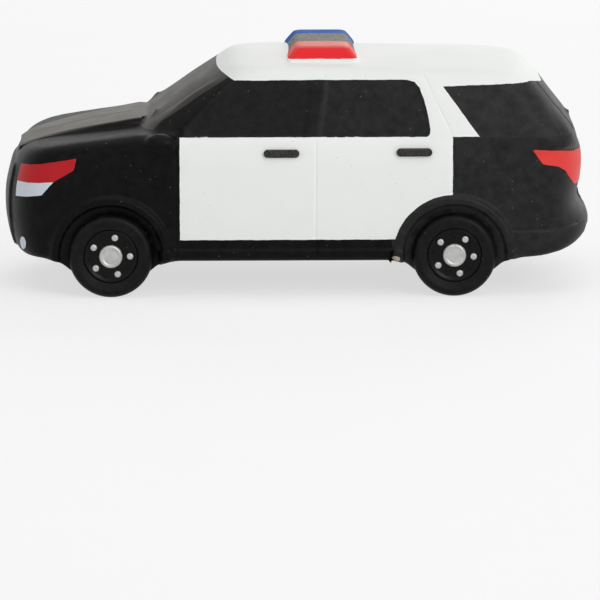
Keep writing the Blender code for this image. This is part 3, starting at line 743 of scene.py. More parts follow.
BELT = 29.7                 # height of the windows' lower edge
DOOR_SILL = 10.8            # height of the doors' lower edge
SILL_REAR = -17.3
DOOR_FRONT = 21.7
DOOR_SPLIT = -3.3
DOOR_REAR = -28.5
PANE_TOP = 39.8
FRONT_AXLE = 34.45
REAR_AXLE = -28.9
AXLE_HEIGHT = 7.72
AXLES = {"front": FRONT_AXLE, "rear": REAR_AXLE}
ARCH_OUTER = 11.4
ARC_STEPS = 24
FENDER_REAR = 22.35         # the fenders' black ends here
QUARTER_FRONT = -28.6       # the quarters' black starts here
QUARTER_LOW = 20.0          # below this height it starts at the sill's rear end
MIDDLE_SPLIT = -0.01        # beside the middle plane, where the skin has points
FLOOR_TOP = 7.25            # the underbody's panel reaches up to here
FLOOR_HALF_WIDTH = 18.5
LAMP_INNER = 14.8           # how far the headlamps reach in across the nose
TAIL_LAMP_INNER = 10.0
FOG_LAMP_INNER = 8.0
QUARTER_INNER = 14.3

# outlines in the side view: x, height
FRONT_WINDOW = ((DOOR_SPLIT, BELT), (21.0, BELT), (21.0, 31.2), (13.6, 38.4), (12.0, 39.6),
                (10.8, 39.7), (-4.85, PANE_TOP))
REAR_WINDOW = ((-23.9, BELT), (-1.0, BELT), (-2.4, PANE_TOP), (-20.2, PANE_TOP), (-21.6, 39.4),
               (-22.5, 38.4), (-23.3, 36.2), (-24.0, 33.5), (-24.4, 31.2), (-24.3, 30.2))
QUARTER_WINDOW = ((-33.4, BELT), (-52.5, BELT), (-49.5, 35.0), (-45.9, 39.0), (-44.0, 39.15),
                  (-26.8, 38.6))
HEADLAMP_RED = ((40.6, 25.9), (41.2, 23.7), (44.9, 21.5), (52.2, 20.8), (56.0, 20.4), (56.0, 23.2),
                (51.2, 24.0))
HEADLAMP_PALE = ((44.9, 21.5), (47.1, 19.0), (52.9, 17.8), (56.0, 17.2), (56.0, 20.4), (52.2, 20.8))
HEADLAMP = ((40.6, 25.9), (41.2, 23.7), (44.9, 21.5), (47.1, 19.0), (52.9, 17.8), (56.0, 17.2),
            (56.0, 23.2), (51.2, 24.0))
TAIL_LAMP = ((-43.2, 27.3), (-48.5, 26.9), (-52.6, 25.9), (-58.0, 24.6), (-58.0, 19.2), (-51.4, 19.8),
             (-49.4, 23.0), (-48.1, 23.9), (-45.1, 24.5))
FOG_LAMP_CENTRE = (50.75, 9.35)
FOG_LAMP_RADII = (0.55, 1.3)
FOG_LAMP = tuple((FOG_LAMP_CENTRE[0] + FOG_LAMP_RADII[0] * math.cos(turn),
                  FOG_LAMP_CENTRE[1] + FOG_LAMP_RADII[1] * math.sin(turn))
                 for turn in np.linspace(0.0, 5.95, 18))
FOAM_CHIP = ((-17.2, 6.9), (-17.35, 7.5), (-17.8, 7.75), (-18.3, 7.75), (-18.75, 7.45),
             (-18.85, 6.9), (-18.5, 6.45), (-17.6, 6.4))
FRONT_DOOR = ((DOOR_SPLIT, DOOR_SILL), (DOOR_FRONT, DOOR_SILL), (DOOR_FRONT, BELT), (DOOR_SPLIT, BELT))
REAR_PILLAR = ((-33.4, BELT), (-22.0, BELT), (-16.0, 39.4), (-26.6, 39.4))
SILL = ((SILL_REAR, 5.0), (22.7, 5.0), (22.7, DOOR_SILL), (SILL_REAR, DOOR_SILL))
MIRROR = ((21.5, 25.5), (28.8, 25.5), (28.8, 31.2), (21.5, 31.2))
ROOF = ((-60.0, 39.2), (-44.0, 39.15), (-26.6, 38.6), (-19.0, 39.0), (10.8, 39.0), (11.7, 39.7),
        (13.0, 40.35), (14.3, 40.85), (15.2, 41.05), (18.0, 41.1), (20.0, 60.0), (-60.0, 60.0))
FRONT_BUMPER = ((47.2, 0.0), (60.0, 0.0), (60.0, 12.3), (47.2, 12.3))
REAR_BUMPER = ((-60.0, 0.0), (-40.5, 0.0), (-40.5, 12.3), (-60.0, 12.3))
FRONT_PANE = ((-1.3, BELT), (20.2, BELT), (20.2, 31.2), (13.0, 38.4), (11.6, 39.4), (-2.4, 39.6))
REAR_PANE = ((-23.9, BELT), (-4.2, BELT), (-5.6, 39.7), (-20.2, 39.7), (-21.6, 39.3), (-22.5, 38.3),
             (-23.3, 36.2), (-24.0, 33.5), (-24.4, 31.2), (-24.3, 30.2))
SILL_ROLL = ((-19.5, 4.0), (25.5, 4.0), (25.5, 8.9), (-19.5, 8.9))
BUMPER_ROLL = ((-60.0, 2.0), (-39.8, 2.0), (-39.8, 12.1), (-46.0, 12.1), (-60.0, 13.2))

# outlines in the end view: y, height
GRILLE = ((-9.8, 7.9), (9.8, 7.9), (11.8, 13.0), (11.6, 23.2), (-11.6, 23.2), (-11.8, 13.0))
ROOF_TAIL = ((-14.9, 44.0), (-14.9, 39.15), (-13.4, 38.95), (-11.0, 38.55), (-8.0, 38.1),
             (-4.0, 37.75), (4.0, 37.75), (8.0, 38.1), (11.0, 38.55), (13.4, 38.95), (14.9, 39.15),
             (14.9, 44.0))
WINDSHIELD = ((-17.3, 30.6), (17.3, 30.6), (14.3, 43.6), (-14.3, 43.6))
TAIL_WINDOW = ((-15.2, 28.9), (15.2, 28.9), (12.6, 40.2), (-12.6, 40.2))
TAILGATE = ((-12.3, 15.6), (12.3, 15.6), (12.3, 28.9), (-12.3, 28.9))

# outline seen from above: x, y
HOOD = ((27.3, -10.0), (40.0, -8.9), (52.0, -7.2), (52.0, 7.2), (40.0, 8.9), (27.3, 10.0))


def rear_door_points() -> tuple[tuple[float, float], ...]:
    """Outline of the rear door's white field, cut out round the rear arch.

    Returns:
        Corners in the side view.
    """
    first = math.asin((DOOR_SILL - AXLE_HEIGHT) / ARCH_OUTER)
    last = math.acos((DOOR_REAR - REAR_AXLE) / ARCH_OUTER)
    curve = [(REAR_AXLE + ARCH_OUTER * math.cos(a), AXLE_HEIGHT + ARCH_OUTER * math.sin(a))
             for a in np.linspace(first, last, ARC_STEPS)]
    return ((DOOR_REAR, BELT), (DOOR_SPLIT, BELT), (DOOR_SPLIT, DOOR_SILL), *curve)


def side_regions(side: Side) -> list[Region]:
    """Painted regions of one side, the ones on top first.

    Args:
        side: the side, where only the left one has the chip.

    Returns:
        The regions.
    """
    sign, label = side.value, side.label

    def region(name: str, finish: str, points: Table, radius: float = 0.0, inner: float = 10.0) -> Region:
        """Region of this side that stands for the node of its name."""
        node = f"{name}_{label}"
        return Region(node, finish, Outline(points, radius), View.SIDE, (node,), sign, inner)

    chip = [Region("foam_chip", "foam", Outline(FOAM_CHIP), View.SIDE, (), sign, 17.0)]
    return (chip if side is Side.LEFT else []) + [
        # columns: node, finish, outline, corner radius, nearest distance from the middle plane
        region("window_front", "window", FRONT_WINDOW),
        region("window_rear", "middle_window", REAR_WINDOW),
        region("window_quarter", "back_window", QUARTER_WINDOW, 0.0, QUARTER_INNER),
        region("headlamp_red", "red", HEADLAMP_RED, 0.15, LAMP_INNER),
        region("headlamp_pale", "pale", HEADLAMP_PALE, 0.0, LAMP_INNER),
        region("tail_lamp", "tail", TAIL_LAMP, 0.15, TAIL_LAMP_INNER),
        region("fog_lamp", "pale", FOG_LAMP, 0.0, FOG_LAMP_INNER),
        region("pillar_rear", "white", REAR_PILLAR),
        region("door_front", "white", FRONT_DOOR),
        region("door_rear", "white", rear_door_points()),
        region("sill", "black", SILL, 0.0, 19.0),
        region("mirror", "black", MIRROR, 1.5, 19.5),
    ]


def end_regions() -> list[Region]:
    """Painted regions that are seen from the front, the rear or above.

    Returns:
        The regions, the ones on top first.
    """
    return [
        Region("roof", "white", Outline(ROOF), View.SIDE, ("roof",)),
        Region("roof_tail", "white", Outline(ROOF_TAIL), View.END, ("roof",), end=-1),
        Region("hood", "hood", Outline(HOOD), View.TOP, ("hood",), lowest=25.0),
        Region("windshield", "windshield", Outline(WINDSHIELD), View.END, ("windshield",), end=1),
        Region("rear_window", "window", Outline(TAIL_WINDOW), View.END, ("rear_window",), end=-1),
        Region("tailgate", "rear_black", Outline(TAILGATE), View.END, ("tailgate",), end=-1),
        Region("grille", "black", Outline(GRILLE), View.END, ("grille",), end=1),
        Region("bumper_front", "black", Outline(FRONT_BUMPER), View.SIDE, ("bumper_front",)),
        Region("bumper_rear", "rear_black", Outline(REAR_BUMPER), View.SIDE, ("bumper_rear",)),
    ]


# how far the skin is refined beside a crease, and its longest edge there: shares of the half width
TENT_REACH, HUMP_REACH, HUMP_EDGE = 1.2, 2.6, 0.62
TENT_EDGE = 0.25            # longest edge beside a sharp crease, in millimetres


@dataclass(frozen=True)
class Crease:
    """Moulded line along the skin: a groove, or a ridge where its height is above zero."""

    line: tuple[tuple[float, float], ...]
    height: float = -0.16
    half_width: float = 0.25
    sharp: bool = False         # a tent instead of a round hump
    view: View = View.SIDE
    inner: float = 12.0         # nearest distance from the middle plane
    end: int = 0                # sign of X, or 0 for both
    fade: float = 0.8           # stretch at each end of the line over which it dies away
    blend: float = 0.3          # stretch short of inner over which it dies away

    def rise(self, points: np.ndarray) -> np.ndarray:
        """How far the skin stands out.

        Args:
            points: places on the skin.

        Returns:
            Heights, below zero in a groove.
        """
        first, second = self.view.value
        u, v = points[:, first], points[:, second]
        away = line_distance(self.line, u, v) / self.half_width
        shape = np.maximum(0.0, 1.0 - away) if self.sharp else np.exp(-away * away)
        for u_end, v_end in (self.line[0], self.line[-1]):
            shape = shape * ease(0.0, self.fade, np.hypot(u - u_end, v - v_end))
        return self.height * shape * self.reached(points)

    def reached(self, points: np.ndarray) -> np.ndarray:
        """1 where the line is moulded, 0 elsewhere."""
        near = ease(self.inner - self.blend, self.inner, np.abs(points[:, 1]))
        return near * (self.end * points[:, 0] > 0.0) if self.end else near

    def limit(self, points: np.ndarray) -> np.ndarray:
        """Longest edge allowed in the skin.

        Args:
            points: places on the skin.

        Returns:
            Lengths.
        """
        first, second = self.view.value
        away = line_distance(self.line, points[:, first], points[:, second])
        reach = (TENT_REACH if self.sharp else HUMP_REACH) * self.half_width
        edge = TENT_EDGE if self.sharp else HUMP_EDGE * self.half_width
        return np.where((away < reach) & (self.reached(points) > 0.0), edge, FAR_OUTSIDE)


# how far the skin is refined beside a step, and its longest edge there: shares of the ramp
STEP_REACH, STEP_EDGE = 0.8, 0.55


@dataclass(frozen=True)
class Step:
    """Field that stands out of the skin, or lies under it, with a steep edge."""

    outline: Outline
    rise_mm: float
    ramp: float = 0.35
    view: View = View.SIDE
    inner: float = 12.0         # nearest distance from the middle plane
    end: int = 0                # sign of X, or 0 for both
    blend: float = 0.3          # stretch short of inner over which it dies away

    def inside(self, points: np.ndarray) -> np.ndarray:
        """Distance inwards from the field's edge."""
        first, second = self.view.value
        return -self.outline.distance(points[:, first], points[:, second])

    def reached(self, points: np.ndarray) -> np.ndarray:
        """1 on the sides or the end that the field lies on, 0 elsewhere."""
        near = ease(self.inner - self.blend, self.inner, np.abs(points[:, 1])) if self.inner else 1.0
        return near * (self.end * points[:, 0] > 0.0) if self.end else near * np.ones(len(points))

    def rise(self, points: np.ndarray) -> np.ndarray:
        """How far the skin stands out at points."""
        half = self.ramp / 2
        return self.rise_mm * ease(-half, half, self.inside(points)) * self.reached(points)

    def limit(self, points: np.ndarray) -> np.ndarray:
        """Longest edge allowed at points."""
        fine = (np.abs(self.inside(points)) < STEP_REACH * self.ramp) & (self.reached(points) > 0.0)
        return np.where(fine, STEP_EDGE * self.ramp, FAR_OUTSIDE)


# lines in the side view: x, height
A_PILLAR = ((27.0, 30.4), (20.2, 35.8), (14.2, 40.6))
D_PILLAR = ((-45.2, 40.2), (-47.6, 35.5), (-49.8, 30.6), (-51.5, 27.3))
FRONT_DOOR_EDGE = ((22.35, 7.0), (22.35, 29.0), (21.6, 31.4))
DOOR_GAP_BELOW = ((-3.2, 7.4), (-3.35, BELT))
DOOR_GAP_ABOVE = ((-4.85, PANE_TOP), (-5.0, 41.4))
REAR_DOOR_EDGE = ((-28.9, 19.2), (-28.6, BELT), (-22.9, 41.2))
SILL_LINE = ((23.5, 9.3), (-18.0, 9.3))
BUMPER_LINE = ((-39.4, 12.3), (-46.0, 12.4), (-52.5, 12.9))
WAIST_LINE = ((21.0, 24.9), (-28.0, 24.9))
# line seen from above: x, y
HOOD_LINE = ((28.6, 0.0), (50.0, 0.0))


@dataclass(frozen=True)
class SideRelief:
    """What stands out of the skin or is sunk into it: flares, arches, panes, shut lines and creases."""

    arch_floor: float = 20.5    # half width that an arch is sunk to
    arch_reach: float = 0.5     # how far inside that the skin is still taken for the side
    arch_start: float = 7.0     # radii from here on
    crest_ramp: float = 0.7
    crest_start: float = 9.9
    crest_end: float = 10.6
    flare_end: float = 11.7
    flare_proud: float = 0.75
    facing_start: float = 0.25  # share of the normal along Y from which a flare rises
    facing_end: float = 0.7
    medium: float = 0.3         # longest edge on an arch
    fine_inside: float = 0.2    # how far past the arch and the flare the skin is as fine
    fine_outside: float = 0.3
    # columns: line, height, half width, sharp or round, view, nearest distance from the middle plane
    creases: tuple[Crease, ...] = (
        Crease(FRONT_DOOR_EDGE),
        Crease(DOOR_GAP_BELOW, -0.12, 0.22),
        Crease(DOOR_GAP_ABOVE, -0.1, 0.22),
        Crease(REAR_DOOR_EDGE, -0.12, 0.22),
        Crease(SILL_LINE, -0.08, 0.35),
        Crease(BUMPER_LINE, -0.2, 0.3),
        Crease(A_PILLAR, 0.34, 1.0, True, inner=14.6, fade=3.0, blend=1.6),
        Crease(D_PILLAR, 0.2, 1.2, True, inner=14.6, fade=2.5, blend=2.4),
        Crease(HOOD_LINE, 0.07, 0.35, False, View.TOP, 0.0, fade=3.0),
        Crease(WAIST_LINE, 0.10, 1.3, False, View.SIDE, 20.0),
    )
    # columns: outline, height, width of its edge, view, nearest distance from the middle plane, end
    steps: tuple[Step, ...] = (
        Step(Outline(FRONT_PANE, 0.8), -0.2, 1.0),
        Step(Outline(REAR_PANE), -0.16, 1.0),
        Step(Outline(QUARTER_WINDOW, 0.3), -0.12, 0.5),
        Step(Outline(SILL_ROLL), 0.3, 0.5),
        Step(Outline(BUMPER_ROLL), 0.14, 0.8),
        Step(Outline(HEADLAMP, 0.3), 0.12, 0.35, View.SIDE, LAMP_INNER),
        Step(Outline(TAIL_LAMP, 0.3), 0.15, 0.35, View.SIDE, TAIL_LAMP_INNER),
        Step(Outline(FOG_LAMP), 0.2, 0.4, View.SIDE, FOG_LAMP_INNER),
        Step(Outline(GRILLE, 1.5), 0.42, 0.8, View.END, 0.0, 1),
    )

    def features(self) -> list[Crease | Step]:
        """All lines and fields."""
        return [*self.creases, *self.steps]

    def limit(self, points: np.ndarray) -> np.ndarray:
        """Longest edge allowed in the skin, for refining it.

        Args:
            points: places on the skin.

        Returns:
            Lengths.
        """
        allowed = np.full(len(points), FAR_OUTSIDE)
        outer = np.abs(points[:, 1]) > self.arch_floor - self.arch_reach
        for axle in AXLES.values():
            radius = np.hypot(points[:, 0] - axle, points[:, 2] - AXLE_HEIGHT)
            past = radius > self.arch_start - self.fine_inside
            short = radius < self.flare_end + self.fine_outside
            allowed[past & short & outer] = self.medium
        for feature in self.features():
            allowed = np.minimum(allowed, feature.limit(points))
        return allowed

    def apply(self, surface: Surface) -> None:
        """Move the skin in and out.

        Args:
            surface: the skin, which is changed.
        """
        points = surface.points
        facing = ease(self.facing_start, self.facing_end, np.abs(surface.normals()[:, 1]))
        x, z = points[:, 0], points[:, 2]
        out = np.abs(points[:, 1])
        moved = out.copy()
        for axle in AXLES.values():
            radius = np.hypot(x - axle, z - AXLE_HEIGHT)
            crest = ease(self.crest_start - self.crest_ramp, self.crest_start, radius)
            crest = crest * (1.0 - ease(self.crest_end, self.flare_end, radius))
            moved += self.flare_proud * crest * facing
            sunk = 1.0 - ease(self.arch_start, self.crest_start, radius)
            deep = np.minimum(moved, self.arch_floor)
            moved = np.where(out > self.arch_floor - self.arch_reach, moved + (deep - moved) * sunk, moved)
        surface.points = np.stack([x, np.sign(points[:, 1]) * moved, z], axis=1)
        rise = sum(feature.rise(surface.points) for feature in self.features())
        surface.points = surface.points + surface.normals() * rise[:, None]


@dataclass(frozen=True)
class Web:
    """Foam left between a tyre and the underside, as a small wedge on each side of the tyre."""

    inner: float = 14.6
    outer: float = 20.7
    # columns: distance from the axle along X, height
    points: tuple[tuple[float, float], ...] = (
        (5.2, 3.3), (6.6, 4.2), (7.6, 4.9), (8.5, 5.7), (9.4, 6.3), (11.6, 6.7), (11.6, 8.4), (5.2, 8.4))

    def surface(self, axle: float, way: int, side: Side) -> Surface:
        """Closed wedge at a tyre.

        Args:
            axle: x of the tyre's axle.
            way: sign of X seen from the axle.
            side: side of the toy.

        Returns:
            The wedge.
        """
        ring = np.array([(axle + way * along, 0.0, height) for along, height in self.points])
        rings = np.stack([ring + (0.0, side.value * y, 0.0) for y in (self.inner, self.outer)])
        return rings_surface(rings)


@dataclass(frozen=True)
class Skin:
    """The moulded skin of the whole toy, and the rules for splitting it."""

    voxel: float = 0.5
    soften_rounds: int = 6
    refine_rounds: int = 2
    thickness: float = 0.6      # of the painted shells
    mirror: Ellipsoid = Ellipsoid((25.2, 21.3, 28.5), (3.2, 1.9, 2.2))
    cowl_end: Ellipsoid = Ellipsoid((26.0, 10.3, 31.7), (0.9, 1.6, 1.9))
    wiper_pivot: Ellipsoid = Ellipsoid((-50.9, 0.0, 31.2), (0.8, 0.9, 0.7))
    hood: Hood = Hood()
    relief: SideRelief = field(default_factory=SideRelief)

    def build(self) -> Surface:
        """The finished skin, cut along every region's edge.

        Returns:
            The skin.
        """
        body = LowerBody()
        parts = [body.surface(), Greenhouse().surface()]
        parts += [pod.surface(side) for pod in (self.mirror, self.cowl_end) for side in Side]
        parts.append(self.wiper_pivot.surface(Side.LEFT))
        parts += [Web().surface(axle, way, side) for axle in AXLES.values() for way in (-1, 1)
                  for side in Side]
        surface = fused(parts, self.voxel)
        LOG.info("fused skin: %d faces", len(surface.faces))
        surface.soften(self.soften_rounds)
        surface.refine(lambda p: np.minimum(self.relief.limit(p), self.hood.limit(p)), self.refine_rounds)
        self.hood.apply(surface, body)
        for level in [region.level for region in self.regions()] + self.core_splits():
            surface.cut(level)
        self.relief.apply(surface)
        LOG.info("relieved skin: %d faces", len(surface.faces))
        return surface

    def regions(self) -> list[Region]:
        """Every painted region, in the order in which they are given faces.

        Returns:
            The chip and the windows, then the roof, hood and windows of the ends, then the rest.
        """
        windows = 3
        chip_and_windows, roof_to_tail_window = 1 + windows, 5
        left, right, ends = side_regions(Side.LEFT), side_regions(Side.RIGHT), end_regions()
        return (left[:chip_and_windows] + right[:windows] + ends[:roof_to_tail_window]
                + left[chip_and_windows:] + right[windows:] + ends[roof_to_tail_window:])

    def core_splits(self) -> list[Callable[[np.ndarray], np.ndarray]]:
        """Fields whose zero lines split what is left of the skin into its panels.

        Returns:
            The fields, each read at given points.
        """
        return [lambda p: p[:, 1] - MIDDLE_SPLIT, lambda p: p[:, 0] - FENDER_REAR,
                lambda p: p[:, 0] - QUARTER_FRONT, lambda p: p[:, 0] - SILL_REAR,
                lambda p: p[:, 2] - FLOOR_TOP, lambda p: np.abs(p[:, 1]) - FLOOR_HALF_WIDTH]

    def pieces(self, surface: Surface, finishes: dict[str, bpy.types.Material]) -> list[bpy.types.Object]:
        """Shells of all regions, and of the panels that are left.

        Args:
            surface: the finished skin.
            finishes: all finishes by name.

        Returns:
            The shells.
        """
        normals = surface.normals()
        centres = surface.centres()
        free = np.ones(len(centres), dtype=bool)
        made = []
        for region in self.regions():
            chosen = free & (region.level(centres) < 0.0)
            free &= ~chosen
            piece = shell(f"{region.name}_paint", surface, normals, chosen, self.thickness,
                          finishes[region.finish])
            made.append(dress(piece, region.finish, *region.replaces))
        for name, chosen in self.panels(centres).items():
            chosen = free & chosen
            free &= ~chosen
            finish = "rear_black" if name.startswith("quarter") else "black"
            piece = shell(name, surface, normals, chosen, self.thickness, finishes[finish])
            if name == "underbody":
                merge_flat(piece)
            made.append(dress(piece, finish, "body"))
        return made

    def panels(self, centres: np.ndarray) -> dict[str, np.ndarray]:
        """Panels of the black core.

        Args:
            centres: middle points of the skin's faces.

        Returns:
            Whether each face fits a panel, by its name. The first panel that fits takes the face.
        """
        x, y, z = centres.T
        left, right = y > MIDDLE_SPLIT, y <= MIDDLE_SPLIT
        front, rear = x > FENDER_REAR, (x < QUARTER_FRONT) | ((x < SILL_REAR) & (z < QUARTER_LOW))
        return {"underbody": (z < FLOOR_TOP) & (np.abs(y) < FLOOR_HALF_WIDTH),
                "fender_left": front & left, "fender_right": front & right,
                "quarter_left": rear & left, "quarter_right": rear & right,
                "pillars_left": left, "pillars_right": right}


def dress(piece: bpy.types.Object, finish: str, *nodes: str) -> bpy.types.Object:
    """Ride a piece on the toy and hide the CAD nodes that it stands for.

    Args:
        piece: the finished piece, in place.
        finish: name of its finish; not used.
        nodes: CAD nodes that it stands for.

    Returns:
        The piece.
    """
    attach(piece, BODY)
    if nodes:
        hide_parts(*nodes)
    LOG.info("%s: %d faces", piece.name, len(piece.data.polygons))
    return piece


@dataclass(frozen=True)
class Wheel:
    """One moulded wheel: tyre, dished rim, cap and nuts."""

    face: float = 22.2          # half width of the toy at the tyre's face
    width: float = 8.0
    radius: float = 7.75
    rim_radius: float = 4.95
    rim_recess: float = 0.9
    # the tyre's wall: distance past the rim's radius, depth under the face
    wall: Table = ((0.0, 0.75), (0.12, 0.5), (0.35, 0.38), (0.75, 0.3), (1.15, 0.12), (1.55, 0.0))
    shoulder_drop: float = 1.5
    shoulder_start: float = 0.15    # first angle of the tyre's round shoulder
    shoulder_points: int = 10
    # the tyre's back edge: distance under its radius, distance from its inner face
    back: Table = ((0.0, 0.8), (0.4, 0.15), (0.9, 0.0))
    # the rim's raised edge: distance under its radius, height over its floor
    dish: Table = ((1.1, 0.0), (0.75, 0.06), (0.5, 0.22), (0.32, 0.33), (0.12, 0.33), (0.0, 0.2))
    rooted: float = 0.3         # how far cap, nuts and bumps reach under the rim's floor
    cap_radius: float = 2.16
    cap_proud: float = 0.75
    cap_round: float = 0.42     # radius of the cap's raised edge
    cap_start: float = -0.9     # first angle of that edge
    cap_points: int = 9
    cap_sunk: float = 0.14      # how far the cap's middle lies under its edge
    cap_corner: float = 0.15    # the same beside the edge
    cap_gap: float = 0.12       # flat stretch beside the edge
    nut_circle: float = 3.55
    nut_radius: float = 0.64
    nut_count: int = 5
    nut_proud: float = 0.45
    nut_round: float = 0.3
    bump_circle: float = 3.75
    bump_radius: float = 0.42
    bump_proud: float = 0.2
    bump_round: float = 0.2
    dome_points: int = 6
    segments: int = 128
    cap_segments: int = 64
    nut_segments: int = 28
    bump_segments: int = 20
    # degrees from the rear end of the hub, upwards, as the hand-set mould has them
    nut_degrees: dict[str, tuple[float, ...]] = field(default_factory=lambda: {
        "front": (0.4, 77.5, 152.3, 218.6, 290.6), "rear": (-4.4, 56.0, 136.5, 212.5, 286.4)})

    def turned(self, name: str, profile: Sequence[tuple[float, float]], hub: tuple[float, float],
               side: Side, material: bpy.types.Material, segments: int) -> bpy.types.Object:
        """Closed solid turned about a wheel's axis.

        Args:
            name: name of the piece.
            profile: closed profile of (radius, distance out), which may start and end on the axis.
            hub: x and z of the axis.
            side: side of the toy.
            material: finish.
            segments: faces round the axis.

        Returns:
            The turned object.
        """
        angle = 2.0 * math.pi * np.arange(segments) / segments
        rows = []
        for radius, out in profile:
            rows.append(np.stack([hub[0] + radius * np.sin(angle), np.full(segments, side.value * out),
                                  hub[1] - radius * np.cos(angle)], axis=1))
        rings = np.array(rows)
        i = np.arange(segments)
        j = (i + 1) % segments
        faces = []
        closed = profile[0][0] > 0.0
        for row in range(len(rows) if closed else len(rows) - 1):
            a, b = row * segments, ((row + 1) % len(rows)) * segments
            faces.append(np.stack([a + i, b + i, b + j, a + j], 1))
        mesh_faces = np.concatenate(faces)
        if side is Side.RIGHT:
            mesh_faces = mesh_faces[:, ::-1]
        made = new_object(name, rings.reshape(-1, 3), mesh_faces, None, material)
        clean_mesh(made)
        return made

    def tyre_profile(self) -> list[tuple[float, float]]:
        """Profile of the tyre: a swollen wall that falls away to the rim.

        Returns:
            Points of (radius, distance out).
        """
        inner, face, radius = self.face - self.width, self.face, self.radius
        wall = [(self.rim_radius + past, face - depth) for past, depth in self.wall]
        start, drop = wall[-1][0], self.shoulder_drop
        shoulder = [(start + (radius - start) * math.sin(a), face - drop + drop * math.cos(a))
                    for a in np.linspace(self.shoulder_start, math.pi / 2, self.shoulder_points)]
        back = [(radius - under, inner + out) for under, out in self.back]
        return wall + shoulder + back + [(self.rim_radius, inner)]

    def rim_profile(self) -> list[tuple[float, float]]:
        """Profile of the dished rim, from the axis out and back.

        Returns:
            Points of (radius, distance out).
        """
        floor, inner, edge = self.face - self.rim_recess, self.face - self.width, self.rim_radius
        dish = [(edge - under, floor + height) for under, height in self.dish]
        return [(0.0, floor), *dish, (edge, inner), (0.0, inner)]

    def cap_profile(self, floor: float) -> list[tuple[float, float]]:
        """Profile of the cap: a flat disc within a rounded rim.

        Args:
            floor: distance out of the rim's floor.

        Returns:
            Points of (radius, distance out).
        """
        high, low, edge = floor + self.cap_proud, floor - self.rooted, self.cap_round
        rim = [(self.cap_radius - edge + edge * math.sin(a), high - edge + edge * math.cos(a))
               for a in np.linspace(self.cap_start, math.pi / 2, self.cap_points)]
        return [(0.0, high - self.cap_sunk), (rim[0][0] - self.cap_gap, high - self.cap_corner), *rim,
                (self.cap_radius, low), (0.0, low)]

    def dome(self, radius: float, floor: float, proud: float, edge: float) -> list[tuple[float, float]]:
        """Profile of a low round button on the rim.

        Args:
            radius: its radius.
            floor: distance out of the rim's floor.
            proud: how far it stands out of the floor.
            edge: radius of its soft edge.

        Returns:
            Points of (radius, distance out).
        """
        high, low = floor + proud, floor - self.rooted
        turned = [(radius - edge + edge * math.sin(a), high - edge + edge * math.cos(a))
                  for a in np.linspace(0.0, math.pi / 2, self.dome_points)]
        return [(0.0, high), *turned, (radius, low), (0.0, low)]

    def build(self, corner: str, side: Side, finishes: dict[str, bpy.types.Material]) -> None:
        """Make the pieces of one wheel.

        Args:
            corner: the axle's name.
            side: side of the toy.
            finishes: all finishes by name.
        """
        hub = (AXLES[corner], AXLE_HEIGHT)
        where = f"{corner}_{side.label}"
        floor = self.face - self.rim_recess

        def add(name: str, profile: Sequence[tuple[float, float]], at: tuple[float, float], finish: str,
                node: str, segments: int) -> None:
            """Turn a piece about an axis, in a finish that is its own, for a node of this wheel."""
            piece = self.turned(name, profile, at, side, finishes[finish], segments)
            dress(piece, finish, f"{node}_{where}")

        def around(circle: float, angle: float) -> tuple[float, float]:
            """Place on a circle about the hub."""
            return hub[0] - side.value * circle * math.cos(angle), hub[1] + circle * math.sin(angle)

        add(f"tyre_{where}_paint", self.tyre_profile(), hub, "tyre", "tyre", self.segments)
        add(f"rim_{where}_dish", self.rim_profile(), hub, "rim", "rim", self.segments)
        add(f"cap_{where}", self.cap_profile(floor), hub, "silver", "rim", self.cap_segments)
        nut = self.dome(self.nut_radius, floor, self.nut_proud, self.nut_round)
        bump = self.dome(self.bump_radius, floor, self.bump_proud, self.bump_round)
        for index, degrees in enumerate(self.nut_degrees[corner]):
            angle = math.radians(degrees)
            between = angle + math.pi / self.nut_count
            add(f"nut_{where}_{index}", nut, around(self.nut_circle, angle), "silver", "rim",
                self.nut_segments)
            add(f"rim_bump_{where}_{index}", bump, around(self.bump_circle, between), "rim", "rim",
                self.bump_segments)


def clean_mesh(made: bpy.types.Object) -> None:
    """Weld a mesh's points that lie on its axis and turn its faces outwards.

    Args:
        made: the object, whose mesh is changed.
    """
    form = bmesh.new()
    form.from_mesh(made.data)
    bmesh.ops.remove_doubles(form, verts=form.verts, dist=WELD * MM)
    bmesh.ops.recalc_face_normals(form, faces=form.faces)
    form.to_mesh(made.data)
    form.free()


